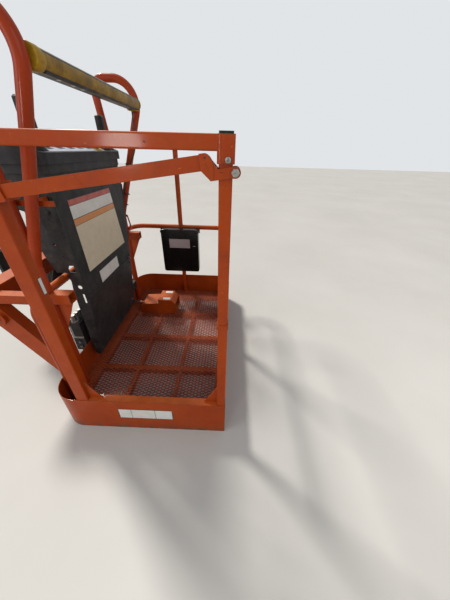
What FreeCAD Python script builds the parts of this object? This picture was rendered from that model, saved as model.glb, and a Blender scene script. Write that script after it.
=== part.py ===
import FreeCAD, Part
import math
import os

# Work platform of a boom lift: an open basket with guard rails, a sliding entry bar, a control console
# between two hoops with a padded sensor bar, and a swing bracket that takes the end of the jib.
# Millimetres. X runs from the boom side (-X) to the open side (+X), Y from the entry (-Y) to the far end.
# The origin is the middle of the floor frame's underside.

os.makedirs("parts", exist_ok=True)

V = FreeCAD.Vector

# Overall sizes of the basket
PLATFORM_WIDTH = 760.0
PLATFORM_LENGTH = 1220.0
CORNER_RADIUS = 115.0
RAIL_TOP = 1127.0
MID_RAIL_HEIGHT = 596.0

# Floor and toe boards
FLOOR_TUBE = 33.0
FRAME_WIDTH = 55.0
FAR_FRAME_WIDTH = 92.0
CROSS_BAR_WIDTH = 32.0
CROSS_BAR_PITCH = 270.0
MIDDLE_BAR_Y = -10.0
LONG_BAR_WIDTH = 14.0
LONG_BAR_X = 118.0
MESH_THICKNESS = 4.0
MESH_BAR = 24.0
MESH_CELLS = 3
TOE_BOARD_HEIGHT = 187.0
TOE_BOARD_THICKNESS = 3.0
STEP_DEPTH = 32.0
GUSSET_HEIGHT = 95.0
GUSSET_REACH = 56.0
GUSSET_THICKNESS = 4.0

# Tubes and posts
RAIL_TUBE = 32.0
ENTRY_TUBE = 32.0
TUBE_CORNER = 4.0
POST_WIDTH = 50.0
POST_DEPTH = 38.0
LEFT_POST_X = -252.0
CAP_HEIGHT = 5.0
SLEEVE_WALL = 4.0
SLEEVE_LENGTH = 56.0
MID_RAIL_SETBACK = 120.0
MID_RAIL_BEND = 60.0
RIGHT_STILE_Y = 0.0
FAR_STILE_X = 0.0

# Sliding entry bar
BOLT_HEIGHT = 1055.0
BOLT_RADIUS = 6.0
BOLT_HEAD_RADIUS = 9.5
BOLT_HEAD_HEIGHT = 6.5
BAR_TILT = 8.4
BAR_RISE = 28.0
BAR_START = 68.0
BAR_END = 574.0
BRACKET_WALL = 4.0
BRACKET_CLEARANCE = 1.5
BRACKET_DROP = 10.0
BRACKET_LUG_RADIUS = 12.0
BRACKET_NOTCH = 38.0
BRACKET_SLACK = 3.0
HANGER_HEIGHT = 44.0
HANGER_SLACK = 6.0
HANGER_PIN_RADIUS = 5.0
STOP_RISE = 4.0
STOP_HEIGHT = 16.0
STOP_WALL = 2.5

# Hoops and sensor bar
HOOP_TUBE = 38.0
NEAR_HOOP_SETBACK = 210.0
FAR_HOOP_SETBACK = 170.0
HOOP_TOP = 1400.0
HOOP_KNEE = 710.0
HOOP_LEAN = 19.1
HOOP_FRONT_BEND = 108.0
HOOP_BACK_BEND = 60.0
HOOP_KNEE_BEND = 150.0
HOOP_BACK_SHIFT = 24.0
TAB_HEIGHT = 18.0
TAB_THICKNESS = 4.0
TAB_DROP = 197.0
SENSOR_RISE = -1.0
SENSOR_INSET = 3.0
PAD_DEPTH = 50.0
PAD_WIDTH = 32.0
CHANNEL_WIDTH = 26.0
CHANNEL_HEIGHT = 48.0
SLEEVE_REACH = 62.0
END_PLATE = 6.0
SENSOR_CABLE = 7.0
CABLE_START = 16.0
CABLE_DROP = 67.0
CABLE_LIFT = 6.5
TAB_BACK = 11.0
TAB_REACH = 138.0

# Console
CONSOLE_NEAR_GAP = 108.0
CONSOLE_FAR_GAP = 105.0
CONSOLE_NEAR_TAPER = 20.0
CONSOLE_FAR_TAPER = 80.0
CONSOLE_FACE_X = -284.0
CONSOLE_SEAM_X = -280.0
CONSOLE_FOOT_X = -318.0
CONSOLE_BACK_X = -470.0
CONSOLE_TOP = 1010.0
CONSOLE_SEAM = 484.0
CONSOLE_BOTTOM = 122.0
COVER_STEP = 3.0
COVER_DEPTH = 14.0
SKIN_DEPTH = 10.0
RIM_X = -262.0
RIM_FRONT_TOP = 1076.0
RIM_GROOVE = 1040.0
PANEL_SLOPE = 17.0
RIM_OVERHANG = 18.0
NECK_OVERHANG = 8.0
RIM_WALL = 12.0
RIM_LIP = 12.0
RIM_CORNER = 30.0
HOUSING_STEP = 850.0
HOUSING_BACK_X = -440.0
SIDE_PLATE = 3.0
SIDE_PLATE_BACK = 408.0
SIDE_NOTCH = 9.0
SHELF_TUBE = 45.0
SHELF_WALL = 4.0
SHELF_LENGTH = 76.0
SHELF_DROP = 42.0
SHELF_GUSSET = 150.0
CABLE_BOX_TOP = 260.0
CABLE_BOX_BOTTOM = 200.0
CABLE_BOX_WIDTH = 50.0
CABLE_BOX_BACK = 370.0
STICK_X = -312.0
STICK_END_SETBACK = 50.0
STICK_RADIUS = 13.0
STICK_GRIP_RADIUS = 24.0
STICK_HEIGHT = 60.0
GRIP_HEIGHT = 85.0
STICK_BOOT_RADIUS = 34.0
STICK_BOOT_HEIGHT = 26.0

# Document box
BOX_WIDTH = 275.0
BOX_HEIGHT = 322.0
BOX_DEPTH = 56.0
BOX_WALL = 3.0
BOX_DROP = 12.0
BOX_CORNER = 14.0
LID_HEIGHT = 26.0
LID_SKIRT = 14.0
LID_SIDE_CLEARANCE = 1.0
LID_TOP_CLEARANCE = 1.0
LID_PIN_RADIUS = 3.0
LID_PIN_INSET = 11.0
LID_PIN_RISE = 4.0
LID_EAR_THICKNESS = 4.0
LID_EAR_DROP = 13.0
LID_EYE_RADIUS = 6.0
LID_REAR_EDGE = 1.0
LID_CROWN = 5.0

# Foot switch
SWITCH_REAR_X = -285.0
SWITCH_FRONT_X = -12.0
SWITCH_SETBACK = 295.0
SWITCH_WIDTH = 140.0
SWITCH_HEIGHT = 118.0
SWITCH_NOSE = 34.0
SWITCH_REAR_HEIGHT = 78.0
SWITCH_REAR_FALL = 40.0
SWITCH_CORNER = 5.0
SWITCH_HOOD_LENGTH = 125.0
SWITCH_WALL = 3.0
PEDAL_LENGTH = 110.0
PEDAL_THICKNESS = 10.0
PEDAL_HEEL = 26.0
PEDAL_TOE = 40.0
PEDAL_SIDE_CLEARANCE = 8.0
GLAND_RADIUS = 9.0
GLAND_LENGTH = 14.0
SWITCH_CABLE = 7.0
SWITCH_CABLE_HEIGHT = 85.0

# Support and rotator on the boom side
BRACE_WIDTH = 50.0
BRACE_SLOPE = 1.72
BRACE_RISE = 4.0
BRACE_END_X = -660.0
BRACE_LOW = 20.0
CROSS_TUBE = 80.0
STRUT_TUBE = 40.0
STRUT_DROP = 20.0
ANCHOR_ROD = 12.0
ANCHOR_RISE = 70.0
ANCHOR_LENGTH = 60.0
EYE_RADIUS = 33.0
EYE_THICKNESS = 16.0
EYE_HEIGHT = 470.0
VALVE_X = 60.0
VALVE_Y = -235.0
VALVE_WIDTH = 80.0
VALVE_BOTTOM = 150.0
VALVE_TOP = 330.0
FITTING_RADIUS = 11.0
FITTING_HEIGHT = 42.0
FITTING_PITCH = 26.0
FITTING_COUNT = 3
ROTATOR_PLATE = 14.0
PLATE_WIDTH = 220.0
RIB_THICKNESS = 10.0
RIB_SPACING = 160.0
ROTATOR_RADIUS = 78.0
ROTATOR_WAIST = 70.0
ROTATOR_COLLAR = 45.0
ROTATOR_HEIGHT = 250.0
ROTATOR_RISE = 10.0
BOSS_RADIUS = 34.0
BOSS_HEIGHT = 24.0
ARM_THICKNESS = 16.0
ARM_WIDTH = 130.0
ARM_GAP = 3.0
SHAFT_CLEARANCE = 0.05
BRACKET_REACH = 125.0
JIB_PIN_RADIUS = 16.0
JIB_PIN_OFFSET = 185.0
JIB_PIN_DROP = 62.0
JIB_EAR_RADIUS = 30.0
JIB_EAR_GAP = 90.0
JIB_EAR_THICKNESS = 12.0

# Gap between a round piece and its seat on another piece
SEAT_GAP = 0.3

# Volume under which a sliver left by coping a tube is dropped
SMALL_PIECE = 1000.0

# Places that follow from the sizes above
SIDE = PLATFORM_WIDTH / 2
END = PLATFORM_LENGTH / 2
INNER_SIDE = SIDE - TOE_BOARD_THICKNESS
INNER_END = END - TOE_BOARD_THICKNESS
INNER_CORNER = CORNER_RADIUS - TOE_BOARD_THICKNESS
RAIL_X = INNER_SIDE - RAIL_TUBE / 2
RAIL_Y = INNER_END - RAIL_TUBE / 2
RAIL_BEND = INNER_CORNER - RAIL_TUBE / 2
ENTRY_Y = -INNER_END
ENTRY_BACK_Y = ENTRY_Y + ENTRY_TUBE
RIGHT_POST_X = INNER_SIDE - ENTRY_TUBE
LEFT_POST_END_X = LEFT_POST_X + POST_WIDTH
MID_RAIL_END_Y = -END + MID_RAIL_SETBACK
FLOOR_TOP = FLOOR_TUBE + MESH_THICKNESS
RAIL_CENTRE = RAIL_TOP - RAIL_TUBE / 2
STOP_TOP = MID_RAIL_HEIGHT + RAIL_TUBE / 2 + STOP_RISE
BOLT_X = INNER_SIDE + BOLT_RADIUS + SEAT_GAP
BAR_TRAVEL = BOLT_HEIGHT - (STOP_TOP + BRACKET_LUG_RADIUS + BRACKET_CLEARANCE)
HOOP_X = -INNER_SIDE + HOOP_TUBE / 2
HOOP_TILT = math.radians(HOOP_LEAN)
HOOP_FRONT_X = HOOP_X + (HOOP_TOP - HOOP_KNEE) * math.tan(HOOP_TILT)
HOOP_BEND_REACH = HOOP_FRONT_BEND * math.tan((math.pi / 2 + HOOP_TILT) / 2)
NEAR_HOOP_Y = -END + NEAR_HOOP_SETBACK
FAR_HOOP_Y = END - FAR_HOOP_SETBACK
SUPPORT_CENTRE_Y = (NEAR_HOOP_Y + FAR_HOOP_Y) / 2
SUPPORT_HALF_SPAN = (FAR_HOOP_Y - NEAR_HOOP_Y) / 2
TAB_HEIGHT_CENTRE = RAIL_TOP - TAB_DROP
SENSOR_X = HOOP_FRONT_X - HOOP_BEND_REACH + HOOP_FRONT_BEND - SENSOR_INSET
SENSOR_HEIGHT = HOOP_TOP - HOOP_FRONT_BEND + SENSOR_RISE
CONSOLE_NEAR_Y = NEAR_HOOP_Y + CONSOLE_NEAR_GAP
CONSOLE_FAR_Y = FAR_HOOP_Y - CONSOLE_FAR_GAP
SWITCH_Y = END - SWITCH_SETBACK
TAPER_TOP = HOUSING_STEP + 60
COVER_FAR_Y = CONSOLE_FAR_Y - CONSOLE_FAR_TAPER
SHELF_TOP = MID_RAIL_HEIGHT + RAIL_TUBE / 2 - SHELF_DROP + SHELF_TUBE / 2
BRACE_TOP = MID_RAIL_HEIGHT + BRACE_RISE
BOX_BOTTOM = MID_RAIL_HEIGHT - BOX_DROP - BOX_HEIGHT
CROSS_X = BRACE_END_X + CROSS_TUBE
PLATE_X = BRACE_END_X - ROTATOR_PLATE
ROTATOR_X = PLATE_X - ROTATOR_RADIUS
ROTATOR_TOP = BRACE_TOP + ROTATOR_RISE
ROTATOR_BOTTOM = ROTATOR_TOP - ROTATOR_HEIGHT


def block(x0, x1, y0, y1, z0, z1):
    """Box between two corners."""
    return Part.makeBox(x1 - x0, y1 - y0, z1 - z0, V(x0, y0, z0))


def round_bar(start, end, diameter):
    """Straight round bar from start to end."""
    start, end = V(*start), V(*end)
    way = end - start
    return Part.makeCylinder(diameter / 2, way.Length, start, way)


def path_wire(points, bends):
    """Straight runs joined by tangent arcs, one radius for each corner."""
    points = [V(*p) for p in points]
    edges = []
    here = points[0]
    for before, corner, after, bend in zip(points, points[1:], points[2:], bends):
        back = (before - corner).normalize()
        on = (after - corner).normalize()
        half = back.getAngle(on) / 2
        reach = bend / math.tan(half)
        first = corner + back * reach
        last = corner + on * reach
        middle_way = (back + on).normalize()
        middle = corner + middle_way * (bend / math.sin(half) - bend)
        if (first - here).Length > 1e-6:
            edges.append(Part.LineSegment(here, first).toShape())
        edges.append(Part.Arc(first, middle, last).toShape())
        here = last
    edges.append(Part.LineSegment(here, points[-1]).toShape())
    return Part.Wire(edges)


def bent_tube(points, diameter, bends):
    """Round tube bent along a path of straight runs."""
    wire = path_wire(points, bends)
    start = V(*points[0])
    way = V(*points[1]) - start
    section = Part.Wire([Part.Circle(start, way, diameter / 2).toShape()])
    return wire.makePipeShell([section], True, True)


def prism(points, way):
    """Closed outline of straight edges pushed along a vector."""
    wire = Part.makePolygon([V(*p) for p in points] + [V(*points[0])])
    return Part.Face(wire).extrude(V(*way))


def union(shapes):
    """One solid from shapes that overlap."""
    result = shapes[0]
    for shape in shapes[1:]:
        result = result.fuse(shape)
    return result.removeSplitter()


def rounded_slab(half_x, half_y, radius, z0, z1, centre=(0.0, 0.0)):
    """Slab with four rounded upright corners."""
    slab = block(centre[0] - half_x, centre[0] + half_x, centre[1] - half_y, centre[1] + half_y, z0, z1)
    upright = [e for e in slab.Edges if abs(e.Vertexes[0].Z - e.Vertexes[1].Z) > 1e-6]
    return slab.makeFillet(radius, upright)


def square_tube(x0, x1, y0, y1, z0, z1, way):
    """Square or flat tube along X, Y or Z with its four long edges rounded."""
    bar = block(x0, x1, y0, y1, z0, z1)
    long_edges = []
    for edge in bar.Edges:
        box = edge.BoundBox
        spans = {"X": box.XLength, "Y": box.YLength, "Z": box.ZLength}
        if spans[way] > 1 and sum(spans.values()) - spans[way] < 1:
            long_edges.append(edge)
    return bar.makeFillet(TUBE_CORNER, long_edges)


def hoop_leg_x(z):
    """Middle of the hoop's leaning leg at a height."""
    return HOOP_X + (z - HOOP_KNEE) * math.tan(HOOP_TILT)


nodes = {}


# Floor: a perimeter frame with cross bars and two long bars, and the mesh that lies on it
def make_floor():
    outer = rounded_slab(INNER_SIDE, INNER_END, INNER_CORNER, 0, FLOOR_TUBE)
    inside_x = INNER_SIDE - FRAME_WIDTH
    near_y = -INNER_END + FRAME_WIDTH
    far_y = INNER_END - FAR_FRAME_WIDTH
    middle = (0.0, (near_y + far_y) / 2)
    corner = INNER_CORNER - FRAME_WIDTH
    inner = rounded_slab(inside_x, (far_y - near_y) / 2, corner, -1, FLOOR_TUBE + 1, middle)
    frame = [outer.cut(inner)]
    half_cross, half_long = CROSS_BAR_WIDTH / 2, LONG_BAR_WIDTH / 2
    cross_bars = [MIDDLE_BAR_Y + number * CROSS_BAR_PITCH for number in (-1, 0, 1)]
    long_bars = [-LONG_BAR_X, LONG_BAR_X]
    for y in cross_bars:
        frame.append(block(-inside_x - 1, inside_x + 1, y - half_cross, y + half_cross, 0, FLOOR_TUBE))
    for x in long_bars:
        frame.append(block(x - half_long, x + half_long, near_y - 1, far_y + 1, 0, FLOOR_TUBE))
    nodes["floor_frame"] = union(frame)
    mesh = rounded_slab(INNER_SIDE, INNER_END, INNER_CORNER, FLOOR_TUBE, FLOOR_TOP)
    x_edges = [-inside_x] + [x + side * half_long for x in long_bars for side in (-1, 1)] + [inside_x]
    y_edges = [near_y] + [y + side * half_cross for y in cross_bars for side in (-1, 1)] + [far_y]
    switch_y = SWITCH_Y - SWITCH_WIDTH / 2
    windows = []
    for x0, x1 in cells(x_edges):
        for y0, y1 in cells(y_edges):
            beside_x = x0 > SWITCH_FRONT_X or x1 < SWITCH_REAR_X
            beside_y = y1 < switch_y or y0 > switch_y + SWITCH_WIDTH
            if beside_x or beside_y:
                windows.append(block(x0, x1, y0, y1, FLOOR_TUBE - 1, FLOOR_TOP + 1))
    nodes["floor_mesh"] = mesh.cut(Part.makeCompound(windows))


def cells(edges):
    """Openings of the mesh along one way, between the frame's bars."""
    result = []
    for low, high in zip(edges[::2], edges[1::2]):
        pitch = (high - low) / MESH_CELLS
        for number in range(MESH_CELLS):
            start = low + number * pitch + MESH_BAR / 2
            result.append((start, start + pitch - MESH_BAR))
    return result


# Toe boards: one folded strip round the floor, split where the panels meet
def make_toe_boards():
    below, above = -1, TOE_BOARD_HEIGHT + 1
    outer = rounded_slab(SIDE, END, CORNER_RADIUS, 0, TOE_BOARD_HEIGHT)
    strip = outer.cut(rounded_slab(INNER_SIDE, INNER_END, INNER_CORNER, below, above))
    corner_x = SIDE - CORNER_RADIUS
    corner_y = END - CORNER_RADIUS
    near = strip.common(block(-SIDE, corner_x, -END, -corner_y, below, above))
    near_end = block(corner_x, SIDE, -END, ENTRY_Y, 0, TOE_BOARD_HEIGHT)
    nodes["toe_board_near"] = union([near, near_end])
    nodes["toe_board_left"] = strip.common(block(-SIDE, 0, -corner_y, corner_y, below, above))
    nodes["toe_board_far"] = strip.common(block(-SIDE, SIDE, corner_y, END, below, above))
    right = strip.common(block(0, SIDE, -corner_y, corner_y, below, above))
    right_start = block(INNER_SIDE, SIDE, ENTRY_Y, -corner_y, 0, TOE_BOARD_HEIGHT)
    nodes["toe_board_right"] = union([right, right_start])


# Entry: two posts, the fixed rail between them, its sleeve on the right post, the cap and the stop
def make_entry():
    right_end = RIGHT_POST_X + ENTRY_TUBE
    right_post = square_tube(RIGHT_POST_X, right_end, ENTRY_Y, ENTRY_BACK_Y, FLOOR_TOP, RAIL_TOP, "Z")
    left_back = ENTRY_Y + POST_DEPTH
    left_post = square_tube(LEFT_POST_X, LEFT_POST_END_X, ENTRY_Y, left_back, FLOOR_TOP, RAIL_TOP, "Z")
    rail = square_tube(LEFT_POST_END_X - TUBE_CORNER, RIGHT_POST_X, ENTRY_Y, ENTRY_BACK_Y,
                       RAIL_TOP - ENTRY_TUBE, RAIL_TOP, "X")
    nodes["entry_post_right"] = right_post
    nodes["entry_post_left"] = left_post
    rail = rail.cut(left_post)
    sleeve = block(RIGHT_POST_X - SLEEVE_WALL, right_end + SLEEVE_WALL, ENTRY_Y - SLEEVE_WALL,
                   ENTRY_BACK_Y + SLEEVE_WALL, RAIL_TOP - SLEEVE_LENGTH, RAIL_TOP)
    upright = [e for e in sleeve.Edges if abs(e.Vertexes[0].Z - e.Vertexes[1].Z) > 1]
    sleeve = sleeve.makeFillet(2 * SLEEVE_WALL - 1, upright)
    nodes["entry_top_rail"] = union([rail, sleeve]).cut(right_post)
    cap_top = RAIL_TOP + CAP_HEIGHT
    nodes["post_cap"] = square_tube(RIGHT_POST_X, right_end, ENTRY_Y, ENTRY_BACK_Y, RAIL_TOP, cap_top, "Z")
    stop = block(RIGHT_POST_X - STOP_WALL, right_end + STOP_WALL, ENTRY_Y - STOP_WALL, ENTRY_BACK_Y,
                 STOP_TOP - STOP_HEIGHT, STOP_TOP)
    nodes["bar_stop"] = stop.cut(block(RIGHT_POST_X, right_end, ENTRY_Y, END, 0, RAIL_TOP))
    step_top = block(LEFT_POST_END_X, RIGHT_POST_X, ENTRY_Y, ENTRY_Y + STEP_DEPTH,
                     TOE_BOARD_HEIGHT - TOE_BOARD_THICKNESS, TOE_BOARD_HEIGHT)
    step_lip = block(LEFT_POST_END_X, RIGHT_POST_X, ENTRY_Y + STEP_DEPTH - TOE_BOARD_THICKNESS,
                     ENTRY_Y + STEP_DEPTH, TOE_BOARD_HEIGHT - STEP_DEPTH, TOE_BOARD_HEIGHT)
    nodes["entry_step"] = union([step_top, step_lip])
    y = ENTRY_Y + STEP_DEPTH / 2
    low, high = TOE_BOARD_HEIGHT, TOE_BOARD_HEIGHT + GUSSET_HEIGHT
    gussets = []
    for x, reach in ((LEFT_POST_END_X, GUSSET_REACH), (RIGHT_POST_X, -GUSSET_REACH)):
        gussets.append(prism([(x, y, low), (x, y, high), (x + reach, y, low)], (0, GUSSET_THICKNESS, 0)))
    nodes["post_gussets"] = Part.makeCompound(gussets)


# Guard rails: round tube at two heights round the three closed sides
def make_guard_rails():
    right_x, left_x = RAIL_X, -RAIL_X
    corner_y = RAIL_Y - RAIL_BEND
    bend = RAIL_BEND - 0.01
    starts = (("top_rail", RAIL_CENTRE, ENTRY_BACK_Y + SLEEVE_WALL),
              ("mid_rail", MID_RAIL_HEIGHT, ENTRY_BACK_Y))
    for name, z, start_y in starts:
        nodes[name + "_right"] = round_bar((right_x, start_y, z), (right_x, corner_y, z), RAIL_TUBE)
        corners = [(right_x, corner_y, z), (right_x, RAIL_Y, z), (left_x, RAIL_Y, z), (left_x, corner_y, z)]
        nodes[name + "_far"] = bent_tube(corners, RAIL_TUBE, (bend, bend))
    z = RAIL_CENTRE
    hoop_half = HOOP_TUBE / 2
    corners = [(left_x, NEAR_HOOP_Y - hoop_half, z), (left_x, -RAIL_Y, z), (LEFT_POST_X, -RAIL_Y, z)]
    nodes["top_rail_left"] = bent_tube(corners, RAIL_TUBE, (RAIL_BEND,))
    far_piece = round_bar((left_x, FAR_HOOP_Y + hoop_half, z), (left_x, corner_y + 1, z), RAIL_TUBE)
    nodes["top_rail_far"] = union([nodes["top_rail_far"], far_piece])
    z = MID_RAIL_HEIGHT
    corners = [(left_x, corner_y, z), (left_x, MID_RAIL_END_Y, z), (left_x, MID_RAIL_END_Y, FLOOR_TOP)]
    nodes["mid_rail_left"] = bent_tube(corners, RAIL_TUBE, (MID_RAIL_BEND,))


# Upright stiles between floor and top rail, coped round the rails
def make_stiles():
    cope = RAIL_TUBE + 2 * SEAT_GAP
    reach = RAIL_TUBE
    stiles = (("far", FAR_STILE_X, RAIL_Y, reach, 0), ("right", RAIL_X, RIGHT_STILE_Y, 0, reach))
    for side, x, y, dx, dy in stiles:
        stile = round_bar((x, y, FLOOR_TOP), (x, y, RAIL_CENTRE), RAIL_TUBE)
        for z in (MID_RAIL_HEIGHT, RAIL_CENTRE):
            stile = stile.cut(round_bar((x - dx, y - dy, z), (x + dx, y + dy, z), cope))
        pieces = [piece for piece in stile.Solids if piece.Volume > SMALL_PIECE]
        nodes[side + "_stile"] = Part.makeCompound(pieces)


# Hoops: a leg that leans in over the console, bends back over the top and returns to a straight post
def make_hoops():
    for name, y in (("hoop_near", NEAR_HOOP_Y), ("hoop_far", FAR_HOOP_Y)):
        corners = [
            (HOOP_X, y, FLOOR_TOP),
            (HOOP_X, y, HOOP_KNEE),
            (HOOP_FRONT_X, y, HOOP_TOP),
            (HOOP_X - HOOP_BACK_SHIFT, y, HOOP_TOP),
            (HOOP_X, y, RAIL_TOP),
            (HOOP_X, y, HOOP_KNEE),
        ]
        front = bent_tube(corners[:5], HOOP_TUBE, (HOOP_KNEE_BEND, HOOP_FRONT_BEND, HOOP_BACK_BEND))
        back = round_bar(corners[4], corners[5], HOOP_TUBE)
        pieces = union([front, back]).cut(nodes["mid_rail_left"]).Solids
        nodes[name] = Part.makeCompound([piece for piece in pieces if piece.Volume > SMALL_PIECE])
    tabs = []
    low = TAB_HEIGHT_CENTRE - TAB_HEIGHT / 2
    high = low + TAB_HEIGHT
    for side, hoop_y, console_y in ((1, NEAR_HOOP_Y, CONSOLE_NEAR_Y), (-1, FAR_HOOP_Y, CONSOLE_FAR_Y)):
        seat_y = hoop_y + side * (HOOP_TUBE / 2 + SEAT_GAP)
        inner_y = seat_y + side * TAB_THICKNESS
        y0, y1 = sorted((seat_y, inner_y))
        along = block(HOOP_X - TAB_BACK, HOOP_X + TAB_REACH, y0, y1, low, high)
        y0, y1 = sorted((seat_y, console_y))
        across_x = CONSOLE_FACE_X - TAB_HEIGHT
        across = block(across_x - TAB_THICKNESS, across_x, y0, y1, low, high)
        tabs.append(union([along, across]))
    nodes["hoop_tabs"] = Part.makeCompound(tabs)


# Sensor bar: a dark channel between the hoops, a yellow pad on its inner face and sleeves at its ends
def make_sensor_bar():
    near = NEAR_HOOP_Y + HOOP_TUBE / 2 + SEAT_GAP
    far = FAR_HOOP_Y - HOOP_TUBE / 2 - SEAT_GAP
    x, z = SENSOR_X, SENSOR_HEIGHT
    half = CHANNEL_HEIGHT / 2
    nodes["sensor_channel"] = block(x - CHANNEL_WIDTH, x, near, far, z - half, z + half)
    nodes["sensor_pad"] = half_round(x, z, PAD_WIDTH, PAD_DEPTH / 2, near, far)
    caps = []
    for y0, y1 in ((near, near + SLEEVE_REACH), (far - END_PLATE, far)):
        shell = half_round(x, z, PAD_WIDTH + SLEEVE_WALL, PAD_DEPTH / 2 + SLEEVE_WALL, y0, y1)
        half_cap = PAD_DEPTH / 2 + SLEEVE_WALL
        back = block(x - CHANNEL_WIDTH - SLEEVE_WALL, x, y0, y1, z - half_cap, z + half_cap)
        shell = union([shell, back])
        caps.append(shell.cut(nodes["sensor_channel"]).cut(nodes["sensor_pad"]))
    nodes["sensor_caps"] = Part.makeCompound(caps)
    side_y = FAR_HOOP_Y - (HOOP_TUBE + SENSOR_CABLE) / 2 - SEAT_GAP
    exit_x = x - CHANNEL_WIDTH / 2
    exit_y = far - CABLE_START
    route = [(exit_x, exit_y, z - half), (exit_x, exit_y, z - half - CABLE_DROP)]
    # Columns: forward of the leg's middle, inward from the leg's side, drop below the bar's middle
    for forward, inward, drop in (
        (30, 8, 171),
        (31, 4, 236),
        (0, 0, 306),
        (2, CABLE_LIFT, z - TAB_HEIGHT_CENTRE),
        (-1, 0, 424),
        (2, 0, 484),
        (0, 0, 521),
    ):
        height = z - drop
        route.append((hoop_leg_x(height) + forward, side_y - inward, height))
    height = HOOP_KNEE + HOOP_TUBE / 2
    drawn_in = CONSOLE_FAR_TAPER * (TAPER_TOP - height) / (TAPER_TOP - CONSOLE_SEAM)
    plate_y = CONSOLE_FAR_Y + SIDE_PLATE - drawn_in
    route.append((HOOP_X + 12, (plate_y + side_y) / 2 + 8, height))
    route.append((HOOP_X + 12, plate_y - 1, height))
    cable = bent_tube(route, SENSOR_CABLE, cord_bends(route))
    nodes["sensor_cable"] = cable.cut(nodes["console_sides"])


def half_round(x, z, width, half, y0, y1):
    """Bar along Y with a flat back at x and a bowed front."""
    back = Part.LineSegment(V(x, y0, z - half), V(x, y0, z + half)).toShape()
    front = Part.Arc(V(x, y0, z + half), V(x + width, y0, z), V(x, y0, z - half)).toShape()
    return Part.Face(Part.Wire([back, front])).extrude(V(0, y1 - y0, 0))


def console_body(grow):
    """Everything between the console's two ends, which draw in from the taper's top to the seam."""
    near, far = CONSOLE_NEAR_Y - grow, CONSOLE_FAR_Y + grow
    low_near, low_far = near + CONSOLE_NEAR_TAPER, far - CONSOLE_FAR_TAPER
    front = [(near, CONSOLE_TOP), (near, TAPER_TOP), (low_near, CONSOLE_SEAM), (low_near, CONSOLE_BOTTOM),
             (low_far, CONSOLE_BOTTOM), (low_far, CONSOLE_SEAM), (far, TAPER_TOP), (far, CONSOLE_TOP)]
    return prism([(CONSOLE_BACK_X, y, z) for y, z in front], (-CONSOLE_BACK_X, 0, 0))


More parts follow.
